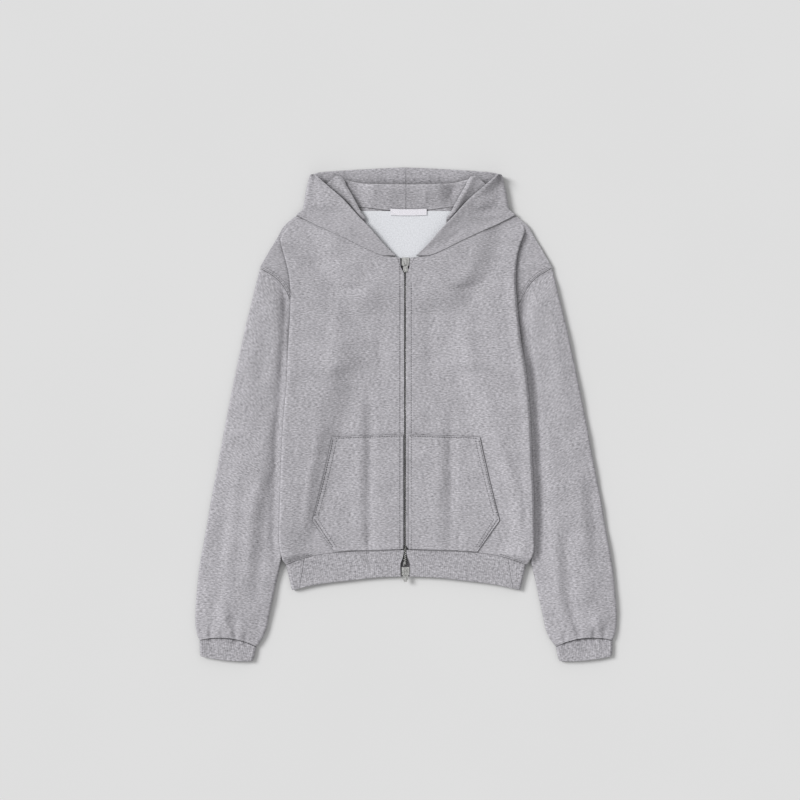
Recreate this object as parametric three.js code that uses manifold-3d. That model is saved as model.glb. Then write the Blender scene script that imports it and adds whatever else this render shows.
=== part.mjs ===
// A zip up hoodie of brushed fleece, laid flat on its back with the hood folded behind the shoulders.
// Millimetres. X is across the garment, Y points from hem to hood, Z is up from the surface that it lies on.
import * as THREE from "three";
import Module from "manifold-3d";

const wasm = await Module();
wasm.setup();

// Points nearer than this are one point after a join
const WELD = 0.02;

// Walls and levels
const FLEECE = 2.6;
const HOOD_WALL = 4;
const RIB_WALL = 3.2;
const TAPE_WALL = 1;
const LAYER_GAP = 0.4;
const SEAM = 0.3;
const HEM_SEAM = 1;
const PITCH = FLEECE + LAYER_GAP;
const BACK_MID = FLEECE / 2;
const THIRD_MID = BACK_MID + PITCH;
const CENTRE_MID = 7.5;
const FOLD_R = PITCH / 2;
const SLEEVE_TOP = 8.8;
const SLEEVE_ON_SEAM = 6.2;
const UNDER_FOLD_TOP = 12.4;
const ZIP_X = -1.5;

const table = (names, rows) =>
  rows.map((row) => Object.fromEntries(names.map((name, i) => [name, row[i]])));

// Half width of the body at its folded side edge, from hem to shoulder
const FOLD = table(["y", "right", "left"], [
  [-242, 192.5, 194], [-234, 197, 198], [-218, 200.5, 204], [-200, 203, 205],
  [-136, 201.5, 204.5], [-72, 199.5, 201.5], [-8, 196, 199], [56, 190.5, 193.5],
  [120, 188, 184], [184, 185, 177.5], [216, 186.5, 175.5], [246, 192.5, 177],
  [270, 199, 182], [292, 203, 190],
]);
// Side seam from the hem to the armpit, then the armhole, then the shoulder seam
const EDGE = table(["y", "x"], [
  [-242, 191], [-234, 195], [-200, 200], [-150, 196], [-88, 186], [8, 166], [30, 156],
  [64, 135], [88, 116], [112, 115], [235, 233.8], [245, 229], [264, 218],
  [283, 206.5], [302, 195.5], [320, 175],
]);
const NECK = table(["y", "x"], [
  [251.5, 9], [254, 34], [263, 58], [277.5, 87], [291, 115.6], [305, 146], [320, 175],
]);
const BACK_NECK = table(["x", "y"], [[0, 325], [32, 327.2], [75, 332], [112, 333], [150, 330], [175, 320]]);
const HEM = table(["x", "y"], [
  [0, -215.5], [38, -217], [84, -218.3], [113, -220.4], [146, -224.6], [173, -232], [192, -239],
  [205, -243],
]);
const RIB_END = table(["x", "y"], [[0, -258.4], [43, -260], [94, -265.2], [140, -271], [182, -280.4]]);
const ZIP_EDGE = table(["y", "x"], [
  [-262, 7], [-240, 7.5], [-232, 4.5], [-220, 2.2], [225, 2.2], [231, 4.8], [237, 8], [252, 8.5],
]);
const POCKET_SIDE = table(["y", "x"], [
  [-222, 112], [-165, 149.5], [-128, 139.5], [-96, 131.5], [-61, 123.5], [-35, 118],
]);
// Each row is a ring of the sleeve from the armhole down: its outer and inner edge points
const SLEEVE = table(["outX", "outY", "inX", "inY", "bulge"], [
  [234.4, 235, 115.5, 111.4, 0], [237, 222, 118, 100, 0], [241, 207, 120.8, 88, 0],
  [246, 186, 124, 75, 0], [256, 146, 131, 45, 0], [270, 82, 143.6, -8, 0],
  [286, 3, 158, -68, 0], [300, -72, 172, -128, 0], [314, -146, 186, -180, 0],
  [320, -182, 194.5, -212, 0], [324.5, -206, 199.5, -234, 0], [331.6, -248, 206.4, -262, 0],
  [335.6, -290, 213.6, -296, 0], [337.6, -322, 219.2, -322, 2], [337, -338, 224, -344, 5],
  [334.5, -352, 230, -358, 8], [331, -361, 239.5, -371, 9.5],
]);
const CUFF = table(["outX", "outY", "inX", "inY", "bulge"], [
  [330.5, -361.7, 239.8, -371.7, 9.2], [330.5, -374, 242.5, -384, 3], [329.5, -386, 245.5, -394, -3],
]);
// The hood: its outer side edge, its opening edge, and the fold under the back
const HOOD_SIDE = table(["y", "x"], [[320, 175], [332, 165.5], [358, 160.5], [378, 156], [389, 151.5]]);
const HOOD_TOP = table(["x", "y"], [[0, 396.8], [43, 395], [96, 392], [136, 389.4], [153, 384.8]]);
const RIM = table(["y", "x"], [
  [254, 16], [270, 32.5], [284, 45], [296, 55], [318, 76], [344, 100], [364, 123], [378, 139],
]);
const ROLL = table(["x", "y"], [[0, 368.8], [51, 369.6], [75, 372], [105, 379], [112, 380]]);
const BAG_END = table(["x", "y"], [[0, 200], [60, 203], [90, 222], [105, 250], [112, 290]]);
const WING = table(["y", "inner", "outer"], [
  [299, 54, 70], [310, 63, 83], [322, 73, 96], [338, 81.7, 111], [355, 91, 126], [366, 97.5, 129],
  [374, 101, 121], [381, 106, 113],
]);
const BAG_LIFT = 8.8;
const BAG_RAMP = 45;

const clamp01 = (t) => Math.min(1, Math.max(0, t));
const smooth = (t) => clamp01(t) ** 2 * (3 - 2 * clamp01(t));
const mix = (a, b, t) => a + (b - a) * t;

// A smooth curve through a table's rows that never overshoots them
function curve(rows, from, to) {
  const k = rows.map((r) => [r[from], r[to]]).sort((a, b) => a[0] - b[0]);
  const rise = k.slice(1).map((p, i) => (p[1] - k[i][1]) / (p[0] - k[i][0]));
  const slope = k.map((_, i) => {
    const a = rise[Math.max(0, i - 1)];
    const b = rise[Math.min(rise.length - 1, i)];
    return a * b <= 0 ? 0 : (2 * a * b) / (a + b);
  });
  return (at) => {
    const v = Math.min(k.at(-1)[0], Math.max(k[0][0], at));
    const i = Math.max(0, k.slice(1, -1).filter((p) => p[0] <= v).length);
    const w = k[i + 1][0] - k[i][0];
    const t = (v - k[i][0]) / w;
    const a = k[i][1] * (1 + 2 * t) * (1 - t) ** 2 + w * slope[i] * t * (1 - t) ** 2;
    return a + k[i + 1][1] * t * t * (3 - 2 * t) + w * slope[i + 1] * t * t * (t - 1);
  };
}

const foldX = { right: curve(FOLD, "y", "right"), left: curve(FOLD, "y", "left") };
const seamX = curve(EDGE, "y", "x");
const ARMPIT = { x: 115, y: 112 };
const SHOULDER = { x: 233.8, y: 235 };
function edgeX(y) {
  const t = (y - ARMPIT.y) / (SHOULDER.y - ARMPIT.y);
  return t > 0 && t < 1 ? mix(ARMPIT.x, SHOULDER.x, t) : seamX(y);
}
const neckX = curve(NECK, "y", "x");
const backNeckY = curve(BACK_NECK, "x", "y");
const hemY = curve(HEM, "x", "y");
const ribEndY = curve(RIB_END, "x", "y");
const zipEdgeX = curve(ZIP_EDGE, "y", "x");
// The pocket's side edge is straight between its rows, so that its corner is sharp
function pocketX(y) {
  const i = Math.max(1, POCKET_SIDE.findIndex((row) => row.y >= y));
  const [a, b] = [POCKET_SIDE[i - 1], POCKET_SIDE[i]];
  return mix(a.x, b.x, (y - a.y) / (b.y - a.y));
}
const sleeveInX = curve(SLEEVE, "inY", "inX");
const hoodSideX = curve(HOOD_SIDE, "y", "x");
const hoodTopY = curve(HOOD_TOP, "x", "y");
const rimX = curve(RIM, "y", "x");
const rollY = curve(ROLL, "x", "y");
const bagEndY = curve(BAG_END, "x", "y");
const bagHalfX = curve(BAG_END, "y", "x");

// How far the folded hood lifts what lies on it
function bagLift(x, y) {
  const across = smooth((Math.max(60, bagHalfX(y)) + BAG_RAMP - x) / BAG_RAMP);
  return BAG_LIFT * across * smooth((y - 155) / BAG_RAMP);
}
// Top of the sleeve where the front's fold lies on it
function topUnderFold(y) {
  const risen = 5.6 + (UNDER_FOLD_TOP - 5.6) * smooth((125 - y) / 50);
  return mix(SLEEVE_TOP, risen, smooth((y + 262) / 34));
}
// Distance down the sleeve from the armhole line
const downSleeve = (x, y) => 0.72 * (x - 115) - 0.694 * (y - 112);
function sleeveTop(side, x, y) {
  const free = 5.6 + (SLEEVE_TOP - 5.6) * smooth(downSleeve(x, y) / 30);
  return mix(free, topUnderFold(y), smooth((foldX[side](y) + 26 - x) / 24));
}
function sleeveBottom(x, y) {
  const rise = smooth((112 - y) / 27) * smooth((y + 270) / 40);
  return SLEEVE_ON_SEAM * rise * smooth((edgeX(y) + 56 - x) / 30);
}

// A closed wall round a grid of middle points with normals, open at its rims or wrapped into a tube
function wall(grid, thickness, wrapped = false) {
  const rows = grid.length;
  const cols = grid[0].length;
  const points = [];
  for (const half of [thickness / 2, -thickness / 2])
    for (const row of grid)
      for (const { p, n } of row) points.push(p.map((c, k) => c + n[k] * half));
  const at = (face, i, j) => face * rows * cols + i * cols + (j % cols);
  const faces = [];
  const quad = (a, b, c, d) => faces.push([a, b, c], [a, c, d]);
  const lastCol = wrapped ? cols : cols - 1;
  for (let i = 0; i < rows - 1; i++)
    for (let j = 0; j < lastCol; j++) {
      quad(at(0, i, j), at(0, i, j + 1), at(0, i + 1, j + 1), at(0, i + 1, j));
      quad(at(1, i, j), at(1, i + 1, j), at(1, i + 1, j + 1), at(1, i, j + 1));
    }
  for (let j = 0; j < lastCol; j++) {
    quad(at(0, 0, j), at(1, 0, j), at(1, 0, j + 1), at(0, 0, j + 1));
    quad(at(0, rows - 1, j), at(0, rows - 1, j + 1), at(1, rows - 1, j + 1), at(1, rows - 1, j));
  }
  if (!wrapped)
    for (let i = 0; i < rows - 1; i++) {
      quad(at(0, i, 0), at(0, i + 1, 0), at(1, i + 1, 0), at(1, i, 0));
      quad(at(0, i, cols - 1), at(1, i, cols - 1), at(1, i + 1, cols - 1), at(0, i + 1, cols - 1));
    }
  return closed(points, faces);
}

// Geometry from points and triangles, turned so that its faces point out
function closed(points, faces) {
  const v = new THREE.Vector3();
  const corner = points.map((p) => new THREE.Vector3(...p));
  const volume = faces.reduce(
    (sum, [a, b, c]) => sum + corner[a].dot(v.crossVectors(corner[b], corner[c])), 0);
  const index = faces.flatMap(([a, b, c]) => (volume < 0 ? [a, c, b] : [a, b, c]));
  const geometry = new THREE.BufferGeometry();
  geometry.setAttribute("position", new THREE.Float32BufferAttribute(points.flat(), 3));
  return geometry.setIndex(index);
}

function toSolid(geometry) {
  return new wasm.Manifold(new wasm.Mesh({
    numProp: 3,
    vertProperties: geometry.attributes.position.array,
    triVerts: new Uint32Array(geometry.index.array),
  }));
}

function joined(...geometries) {
  const solid = geometries.map(toSolid).reduce((a, b) => a.add(b)).simplify(WELD);
  const { vertProperties, triVerts } = solid.getMesh();
  const geometry = new THREE.BufferGeometry();
  geometry.setAttribute("position", new THREE.BufferAttribute(new Float32Array(vertProperties), 3));
  return geometry.setIndex(new THREE.BufferAttribute(new Uint32Array(triVerts), 1));
}

const finish = (color, roughness, metalness = 0) =>
  new THREE.MeshStandardMaterial({ color, roughness, metalness });
const JERSEY = finish(0xaeacb0, 0.95);
const RIB = finish(0xa5a3a8, 0.95);
const TAPE = finish(0x8f8d92, 0.9);
const LABEL = finish(0xe6e6e2, 0.8);
const NICKEL = finish(0xc8c8c8, 0.3, 1);

const part = new THREE.Group();
const garment = new THREE.Group();
part.add(garment);
function add(name, geometry, material) {
  const mesh = new THREE.Mesh(geometry, material);
  mesh.name = name;
  garment.add(mesh);
}
const SIDES = { right: -1, left: 1 };
const UP = [0, 0, 1];

// The pleat starts to turn a little above its top, and lies flat where the turn is past PLEAT_FOLDED
const PLEAT_TOP = { right: 280, left: 288 };
const PLEAT_START = 26;
const PLEAT_RUN = 46;
const PLEAT_FOLDED = 3.1;
const PLEAT_LEAST = 2.6;
const PLEAT_FOOT = 105;
const CREST_RAMP = 50;
// Where the front's inner crease lies, and how far its pleat is folded at a height
function pleat(side, y) {
  const fold = foldX[side](y) - FOLD_R - FLEECE / 2;
  const top = PLEAT_TOP[side];
  const turn = Math.PI * smooth((top + PLEAT_START - y) / PLEAT_RUN);
  const line = mix(PLEAT_FOOT, foldX[side](top), (y - ARMPIT.y) / (top - ARMPIT.y));
  const hidden = Math.min(sleeveInX(y) + 1, edgeX(y) - 6);
  const valley = Math.min(y > ARMPIT.y ? line : hidden, fold - PLEAT_LEAST);
  return { fold, turn, valley };
}
function returnMid(y) {
  const armpitRoom = 1.6 * smooth((160 - y) / 30) * smooth((y - 50) / 30);
  const above = topUnderFold(y) + 1.7 + armpitRoom;
  return mix(THIRD_MID + PITCH, above, y > ARMPIT.y ? 1 : smooth((y + 243) / 15));
}

// Middle height of the front where it lies open, before the hood's lift
function frontFlat(side, x, y) {
  const { fold, turn, valley } = pleat(side, y);
  const folded = turn > PLEAT_FOLDED;
  const m = folded ? fold - valley : PLEAT_LEAST;
  const step = 2 * FOLD_R * (1 - Math.cos(turn)) + m * Math.sin(turn);
  const edge = folded ? returnMid(y) + PITCH : THIRD_MID + 0.6 + step;
  const crest = folded ? valley : Math.min(fold - 3, valley);
  return mix(edge, CENTRE_MID, smooth((crest - x) / CREST_RAMP));
}
const frontMid = (side, x, y) => frontFlat(side, x, y) + bagLift(x, y);

const ARC = 4;
const FRONT_ARC = 3;
// One cross-section of a front, from the zip over the fold and back out to the side seam
function frontRow(side, y) {
  const { fold, turn, valley } = pleat(side, y);
  const start = y > 251.5 ? neckX(y) : zipEdgeX(y) + SIDES[side] * ZIP_X;
  const edge = edgeX(y);
  const row = [];
  const put = (x, z, a) => row.push({ x, z, a });
  const folded = turn > PLEAT_FOLDED;
  if (turn < 0.02) {
    const count = 7 + FRONT_ARC * 2 + 3 + 1;
    for (let j = 0; j <= count; j++) {
      const x = mix(start, edge, j / count);
      put(x, frontFlat(side, x, y), 0);
    }
    return row;
  }
  const m = folded ? fold - valley : PLEAT_LEAST;
  const open = folded ? fold : Math.min(fold, edge - 9);
  const crest = folded ? valley : open - 3;
  const near = Math.max(crest - CREST_RAMP, mix(start, crest, 0.35));
  const knots = [start, mix(start, near, 0.5), near, mix(near, crest, 0.35), mix(near, crest, 0.7), crest,
    mix(crest, open, 0.5)];
  for (const x of knots) put(x, frontFlat(side, x, y), 0);
  const z1 = frontFlat(side, open, y);
  for (let j = 0; j <= FRONT_ARC; j++) {
    const a = (turn * j) / FRONT_ARC;
    put(open + FOLD_R * Math.sin(a), z1 - FOLD_R * (1 - Math.cos(a)), a);
  }
  const last = row.at(-1);
  put(last.x + (m * Math.cos(turn)) / 2, last.z - (m * Math.sin(turn)) / 2, turn);
  const x2 = last.x + m * Math.cos(turn);
  const z2 = last.z - m * Math.sin(turn);
  const r2 = folded ? (z2 - THIRD_MID) / 2 : FOLD_R;
  for (let j = 0; j <= FRONT_ARC; j++) {
    const a = turn * (1 - j / FRONT_ARC);
    put(x2 + r2 * (Math.sin(turn) - Math.sin(a)), z2 - r2 * (Math.cos(a) - Math.cos(turn)), a);
  }
  const end = row.at(-1);
  put(mix(end.x, edge, 0.5), mix(end.z, THIRD_MID, 0.5), 0);
  put(edge, THIRD_MID, 0);
  return row;
}

const NECK_ROWS = [318.5, 306, 291, 284, 277, 270, 263, 257, 254];
const TOP_ROWS = [...NECK_ROWS, 251.5, 246, 234, 212];
const RAMP_ROWS = [200, 189, 178, 166, 155];
const LOW_ROWS = [136, 112, 100, 88, 75, 50, 0, -60, -120, -165];
const HEM_BASE = -200;
const HEM_STEPS = [0, 0.35, 0.67, 0.85, 1];

function frontGrid(side) {
  const s = SIDES[side];
  const point = (q, y) => ({
    p: [s * q.x, y, q.z + bagLift(q.x, y)],
    n: [s * Math.sin(q.a), 0, Math.cos(q.a)],
  });
  const upper = [...TOP_ROWS, ...RAMP_ROWS, ...LOW_ROWS].map((y) => frontRow(side, y).map((q) => point(q, y)));
  const lower = HEM_STEPS.map((t) => {
    const atSide = mix(HEM_BASE, -242, t);
    return frontRow(side, atSide).map((q) => point(q, mix(HEM_BASE, hemY(q.x) + HEM_SEAM / 2, t)));
  });
  return [...upper, ...lower];
}

function makeFronts() {
  for (const side of Object.keys(SIDES)) add("front_" + side, wall(frontGrid(side), FLEECE), JERSEY);
}

function makeBack() {
  const half = (y) => {
    const h = Math.max(60, bagHalfX(y));
    const edge = edgeX(y);
    const ramp = [0, 0.25, 0.5, 0.75, 1].map((t) => h + t * BAG_RAMP);
    const knots = [0, 0.5 * h, ...ramp].map((x) => Math.min(x, edge - 4));
    return [...knots, mix(knots.at(-1), edge, 0.5), edge];
  };
  const row = (y, rise) => {
    const right = half(y);
    const xs = [...right.slice(1).reverse().map((x) => -x), ...right];
    return xs.map((x) => ({ p: [x, rise(x), BACK_MID + bagLift(Math.abs(x), rise(x))], n: UP }));
  };
  const rows = [...[302, 277, 251.5, 234, 212], ...RAMP_ROWS, ...LOW_ROWS].map((y) => row(y, () => y));
  const neck = [1, 0.5].map((t) =>
    row(mix(302, 320, t), (x) => mix(302, backNeckY(Math.abs(x)) - HEM_SEAM / 2, t)));
  const hem = HEM_STEPS.map((t) =>
    row(mix(HEM_BASE, -242, t), (x) => mix(HEM_BASE, hemY(Math.abs(x)) + HEM_SEAM / 2, t)));
  add("back", wall([...neck, ...rows, ...hem], FLEECE), JERSEY);
}

// A flat tube's ring: along its bottom, round its inner edge, back along its top, round its outer edge
function ring(row, s, bottomOf, topOf, thickness, steps) {
  const w = Math.hypot(row.inX - row.outX, row.inY - row.outY);
  const u = [(row.inX - row.outX) / w, (row.inY - row.outY) / w];
  const plan = (d) => {
    const b = 4 * row.bulge * (d / w) * (1 - d / w);
    return [row.outX + u[0] * d + u[1] * b, row.outY + u[1] * d - u[0] * b];
  };
  const level = (d) => {
    const [x, y] = plan(d);
    return [bottomOf(x, y) + thickness / 2, topOf(x, y) - thickness / 2];
  };
  const edge = (d) => {
    const [low, high] = level(d);
    return { low, high, r: (high - low) / 2 };
  };
  const out = edge(0);
  const inn = edge(w);
  const from = out.r + thickness / 2;
  const to = w - inn.r - thickness / 2;
  const points = [];
  const put = (d, z, nd, nz) => {
    const [x, y] = plan(d);
    points.push({ p: [s * x, y, z], n: [s * u[0] * nd, u[1] * nd, nz] });
  };
  const flat = (k) => mix(from, to, k / steps);
  for (let k = 0; k < steps; k++) put(flat(k), level(flat(k))[0], 0, -1);
  for (let k = 0; k <= ARC; k++) {
    const a = (Math.PI * k) / ARC;
    put(to + inn.r * Math.sin(a), (inn.low + inn.high) / 2 - inn.r * Math.cos(a), Math.sin(a), -Math.cos(a));
  }
  for (let k = steps - 1; k > 0; k--) put(flat(k), level(flat(k))[1], 0, 1);
  for (let k = 0; k < ARC + 1; k++) {
    const a = (Math.PI * k) / ARC;
    put(from - out.r * Math.sin(a), (out.low + out.high) / 2 + out.r * Math.cos(a), -Math.sin(a), Math.cos(a));
  }
  points.pop();
  return points;
}

function makeSleeves() {
  for (const [side, s] of Object.entries(SIDES)) {
    const rings = SLEEVE.map((row) =>
      ring(row, s, sleeveBottom, (x, y) => sleeveTop(side, x, y), FLEECE, 6));
    add("sleeve_" + side, wall(rings, FLEECE, true), JERSEY);
    const cuff = CUFF.map((row) => ring(row, s, () => 0, () => SLEEVE_TOP, RIB_WALL, 6));
    add("cuff_" + side, wall(cuff, RIB_WALL, true), RIB);
  }
}

// Hem rib: two fronts from the zip to the side seams, and a back that wraps round both side edges
const RIB_SEAM_X = [163, 171];
const RIB_SIDE_X = [193, 183];
const RIB_END_MID = CENTRE_MID;
const RIB_T = [0, 0.5, 1];
const ribFrontMid = (x, t) => mix(Math.min(9.3, frontFlat("right", x, -242)), RIB_END_MID, t);
const ribY = (x, t) => mix(hemY(x) - HEM_SEAM / 2, ribEndY(x), t);

function makeHemRibs() {
  for (const [side, s] of Object.entries(SIDES)) {
    const grid = RIB_T.map((t) => {
      const seam = mix(...RIB_SEAM_X, t) - SEAM;
      return [0, 1, 2, 3, 4, 5, 6].map((k) => {
        const x0 = zipEdgeX(mix(-216, -262, t)) + s * ZIP_X;
        const x = mix(x0, seam, k / 6);
        return { p: [s * x, ribY(x, t), ribFrontMid(x, t)], n: UP };
      });
    });
    add("hem_rib_front_" + side, wall(grid, RIB_WALL), RIB);
  }
  const low = RIB_WALL / 2;
  const half = (t) => {
    const high = ribFrontMid(RIB_SEAM_X[0], t);
    const r = (high - low) / 2;
    const centre = mix(...RIB_SIDE_X, t) - r - RIB_WALL / 2;
    const path = [{ x: mix(...RIB_SEAM_X, t), z: high, a: 0 }];
    for (let k = 0; k <= 5; k++) {
      const a = (Math.PI * k) / 5;
      path.push({ x: centre + r * Math.sin(a), z: (high + low) / 2 + r * Math.cos(a), a });
    }
    path.push({ x: 120, z: low, a: Math.PI }, { x: 60, z: low, a: Math.PI });
    return path;
  };
  const grid = RIB_T.map((t) => {
    const point = (s) => (q) => ({
      p: [s * q.x, ribY(q.x, t), q.z],
      n: [s * Math.sin(q.a), 0, Math.cos(q.a)],
    });
    const path = half(t);
    const middle = { x: 0, z: low, a: Math.PI };
    return [...path.map(point(-1)), point(1)(middle), ...path.reverse().map(point(1))];
  });
  add("hem_rib_back", wall(grid, RIB_WALL), RIB);
}

function makePockets() {
  const top = -35;
  const bottom = -219;
  const corner = (top - POCKET_SIDE[1].y) / (top - bottom);
  const steps = [0, 0.14, 0.34, 0.5, 0.61, corner, 0.8, 0.9, 1];
  for (const [side, s] of Object.entries(SIDES)) {
    const grid = steps.map((t) => {
      const low = mix(top, bottom, t);
      return [0, 0.25, 0.5, 0.75, 1].map((k) => {
        const x = mix(12, pocketX(low), k);
        const y = mix(-31 - 0.035 * x, hemY(x) + 1.5, t);
        return { p: [s * x, y, frontMid(side, x, y) + PITCH], n: UP };
      });
    });
    add("pocket_" + side, wall(grid, FLEECE - 0.6), JERSEY);
  }
}

// One half of the hood: the folded bag with its neck wall, the far layer, the side fold and front, the wing
function hoodBag(s) {
  const r = 2.2;
  const xs = [0.15, 30, 60, 84, 100, 112];
  const levels = [2, 2 + 2 * r, 2 + 4 * r];
  const columns = xs.map((x) => {
    const path = [];
    const put = (y, z, ny, nz) => path.push({ p: [s * x, y, z], n: [0, ny, nz] });
    const end = bagEndY(x) + r + 2;
    const roll = rollY(x) - r - 2;
    for (const t of [0, 0.33, 0.67]) put(mix(hoodTopY(x), end, t), levels[0], 0, -1);
    for (let k = 0; k <= ARC; k++) {
      const a = (Math.PI * k) / ARC;
      put(end - r * Math.sin(a), levels[0] + r * (1 - Math.cos(a)), -Math.sin(a), -Math.cos(a));
    }
    put(mix(end, roll, 0.5), levels[1], 0, 1);
    for (let k = 0; k <= ARC; k++) {
      const a = (Math.PI * k) / ARC;
      put(roll + r * Math.sin(a), levels[1] + r * (1 - Math.cos(a)), -Math.sin(a), Math.cos(a));
    }
    put(backNeckY(x) + HEM_SEAM / 2 + 0.3, levels[2], 0, -1);
    return path;
  });
  return wall(columns, HOOD_WALL);
}
function hoodFar(s) {
  const rows = [0, 0.5, 1].map((t) =>
    [104, 118, 132, 143, 150].map((x) => ({ p: [s * x, mix(337, hoodTopY(x) - 0.2, t), 1.85], n: UP })));
  return wall(rows, HOOD_WALL - 0.6);
}
// Middle height of the hood's front layer between its opening edge and its outer edge
function hoodFrontMid(side, x, y) {
  const outer = y < 320 ? neckX(y) : hoodSideX(y) - 8;
  const rim = rimX(y);
  const lifted = y < 320 ? frontMid(side, outer, y) : mix(frontMid(side, 172, 320), 9, smooth((y - 320) / 18));
  const low = lifted + 1 + 1.4 * smooth((y - 291) / 10) * smooth((328 - y) / 8);
  const high = mix(frontMid(side, 20, 252), 18.2, smooth((y - 256) / 40));
  return mix(high, low, smooth((x - rim - 4) / Math.max(1, outer - rim - 6)));
}
function hoodFrontLow(side, s) {
  const ys = [338, 330, ...NECK_ROWS];
  return wall(ys.map((y) => {
    const outer = (y < 320 ? neckX(y) - SEAM : hoodSideX(y) - 7);
    return [0, 0.25, 0.5, 0.75, 1].map((k) => {
      const x = mix(rimX(y), outer, k);
      return { p: [s * x, y + 0.2, hoodFrontMid(side, x, y)], n: UP };
    });
  }), HOOD_WALL - 0.5);
}
function hoodFrontHigh(side, s) {
  const r = 4;
  return wall([333, 350, 364, 378].map((y) => {
    const turn = hoodSideX(y) - r - 2;
    const path = [0, 0.33, 0.67].map((k) => {
      const x = mix(rimX(y), turn, k);
      return { p: [s * x, y, hoodFrontMid(side, x, y)], n: UP };
    });
    for (let k = 0; k <= 6; k++) {
      const a = (Math.PI * k) / 6;
      path.push({
        p: [s * (turn + r * Math.sin(a)), y, 2 + r * (1 + Math.cos(a))],
        n: [s * Math.sin(a), 0, Math.cos(a)],
      });
    }
    path.push({ p: [s * (turn - 12), y, 2], n: [0, 0, -1] });
    return path;
  }), HOOD_WALL);
}
function hoodWing(s) {
  return wall(WING.map(({ y, inner, outer }) => {
    const xs = [inner - 3, inner, inner + 3, Math.max(inner + 5, outer)];
    const zs = y < 350 ? [13.2, 13.37, 13.61, 13.8] : [11.15, 12.43, 13.6, 13.8];
    return xs.map((x, k) => ({ p: [s * x, y, zs[k]], n: UP }));
  }), 2.2);
}
function makeHood() {
  for (const [side, s] of Object.entries(SIDES)) {
    const parts = [hoodBag(s), hoodFar(s), hoodFrontHigh(side, s), hoodFrontLow(side, s), hoodWing(s)];
    add("hood_" + side, joined(...parts), JERSEY);
  }
}

function block(x0, x1, y0, y1, z0, z1) {
  return new THREE.BoxGeometry(x1 - x0, y1 - y0, z1 - z0).translate((x0 + x1) / 2, (y0 + y1) / 2, (z0 + z1) / 2);
}
// A plate with a window, cut from outlines in XY and raised in Z
function plate(outline, hole, z0, z1) {
  const shape = new THREE.Shape(outline.map(([x, y]) => new THREE.Vector2(x, y)));
  shape.holes.push(new THREE.Path(hole.map(([x, y]) => new THREE.Vector2(x, y))));
  return new THREE.ExtrudeGeometry(shape, { depth: z1 - z0, bevelEnabled: false }).translate(0, 0, z0);
}
function merged(geometry) {
  const position = geometry.attributes.position;
  const seen = new Map();
  const points = [];
  const order = [...Array(position.count).keys()].map((i) => {
    const p = [position.getX(i), position.getY(i), position.getZ(i)];
    const key = p.map((c) => c.toFixed(3)).join();
    if (!seen.has(key)) seen.set(key, points.push(p) - 1);
    return seen.get(key);
  });
  const corners = geometry.index ? [...geometry.index.array].map((i) => order[i]) : order;
  const faces = [];
  for (let i = 0; i < corners.length; i += 3) faces.push(corners.slice(i, i + 3));
  return closed(points, faces);
}

const SLIDER_X = -0.8;
const TAPE_DROP = 2.4;
const tapeMid = (y) => CENTRE_MID - TAPE_DROP + bagLift(0, y);

function makeZip() {
  const ys = [250.5, 244, 238, 231, 224, 212, ...RAMP_ROWS, 100, -100, -216, -228, -239, -246, -256];
  for (const [side, s] of Object.entries(SIDES)) {
    const grid = ys.map((y) => {
      const spread = Math.max(smooth((y - 243) / 5), smooth((-246 - y) / 5));
      return [mix(0.4, 2, spread), 15].map((x) => ({ p: [ZIP_X + s * x, y, tapeMid(y)], n: UP }));
    });
    add("zip_tape_" + side, wall(grid, TAPE_WALL), TAPE);
  }
  for (const [name, centre, up] of [["top", 245, 1], ["bottom", -250, -1]]) {
    const z = tapeMid(centre);
    const y = (d) => centre + up * d;
    const bar = (x, d0, d1, z0, z1) =>
      merged(block(SLIDER_X - x, SLIDER_X + x, Math.min(y(d0), y(d1)), Math.max(y(d0), y(d1)), z + z0, z + z1));
    const body = joined(
      bar(6, -6.5, 6.5, 0.8, 2.8), bar(6, -6.5, 6.5, -1.6, -0.8), bar(1, 4.2, 6.4, -1, 1),
      bar(1.4, -5, -3.6, 2.6, 7), bar(1.4, 3.6, 5, 2.6, 7), bar(1.4, -5, 5, 6, 7));
    add("slider_" + name, body, NICKEL);
    makePull(name, centre + up * -0.2, z + 4.7);
  }
}

const PULL = { halfWidth: 3.6, window: 2.1, bar: 0.6, windowLength: 7, length: 17, thick: 1.2 };
function makePull(name, y, z) {
  const { halfWidth: w, window: i, bar, windowLength, length, thick } = PULL;
  const x = SLIDER_X;
  const top = y + bar;
  const outline = [[x - w, top], [x + w, top], [x + w, y - length + 3], [x + w - 1.4, y - length],
    [x - w + 1.4, y - length], [x - w, y - length + 3]];
  const inner = [[x - i, y - bar], [x - i, y - windowLength], [x + i, y - windowLength], [x + i, y - bar]];
  add("pull_tab_" + name, merged(plate(outline, inner, z - thick / 2, z + thick / 2)), NICKEL);
}

function makeLabel() {
  const grid = [0, 0.5, 1].map((t) =>
    [-25, -8, 16, 33].map((x) => ({ p: [x, mix(328.6, 318.4, t) + 0.0012 * (x - 4) ** 2, 13.6], n: UP })));
  add("neck_label", wall(grid, 0.8), LABEL);
}

makeBack();
makeFronts();
makeSleeves();
makeHemRibs();
makePockets();
makeHood();
makeZip();
makeLabel();

const centre = new THREE.Box3().setFromObject(garment).getCenter(new THREE.Vector3());
garment.position.set(-centre.x, -centre.y, 0);

export default part;
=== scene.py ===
import math
from functools import lru_cache, partial

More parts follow.
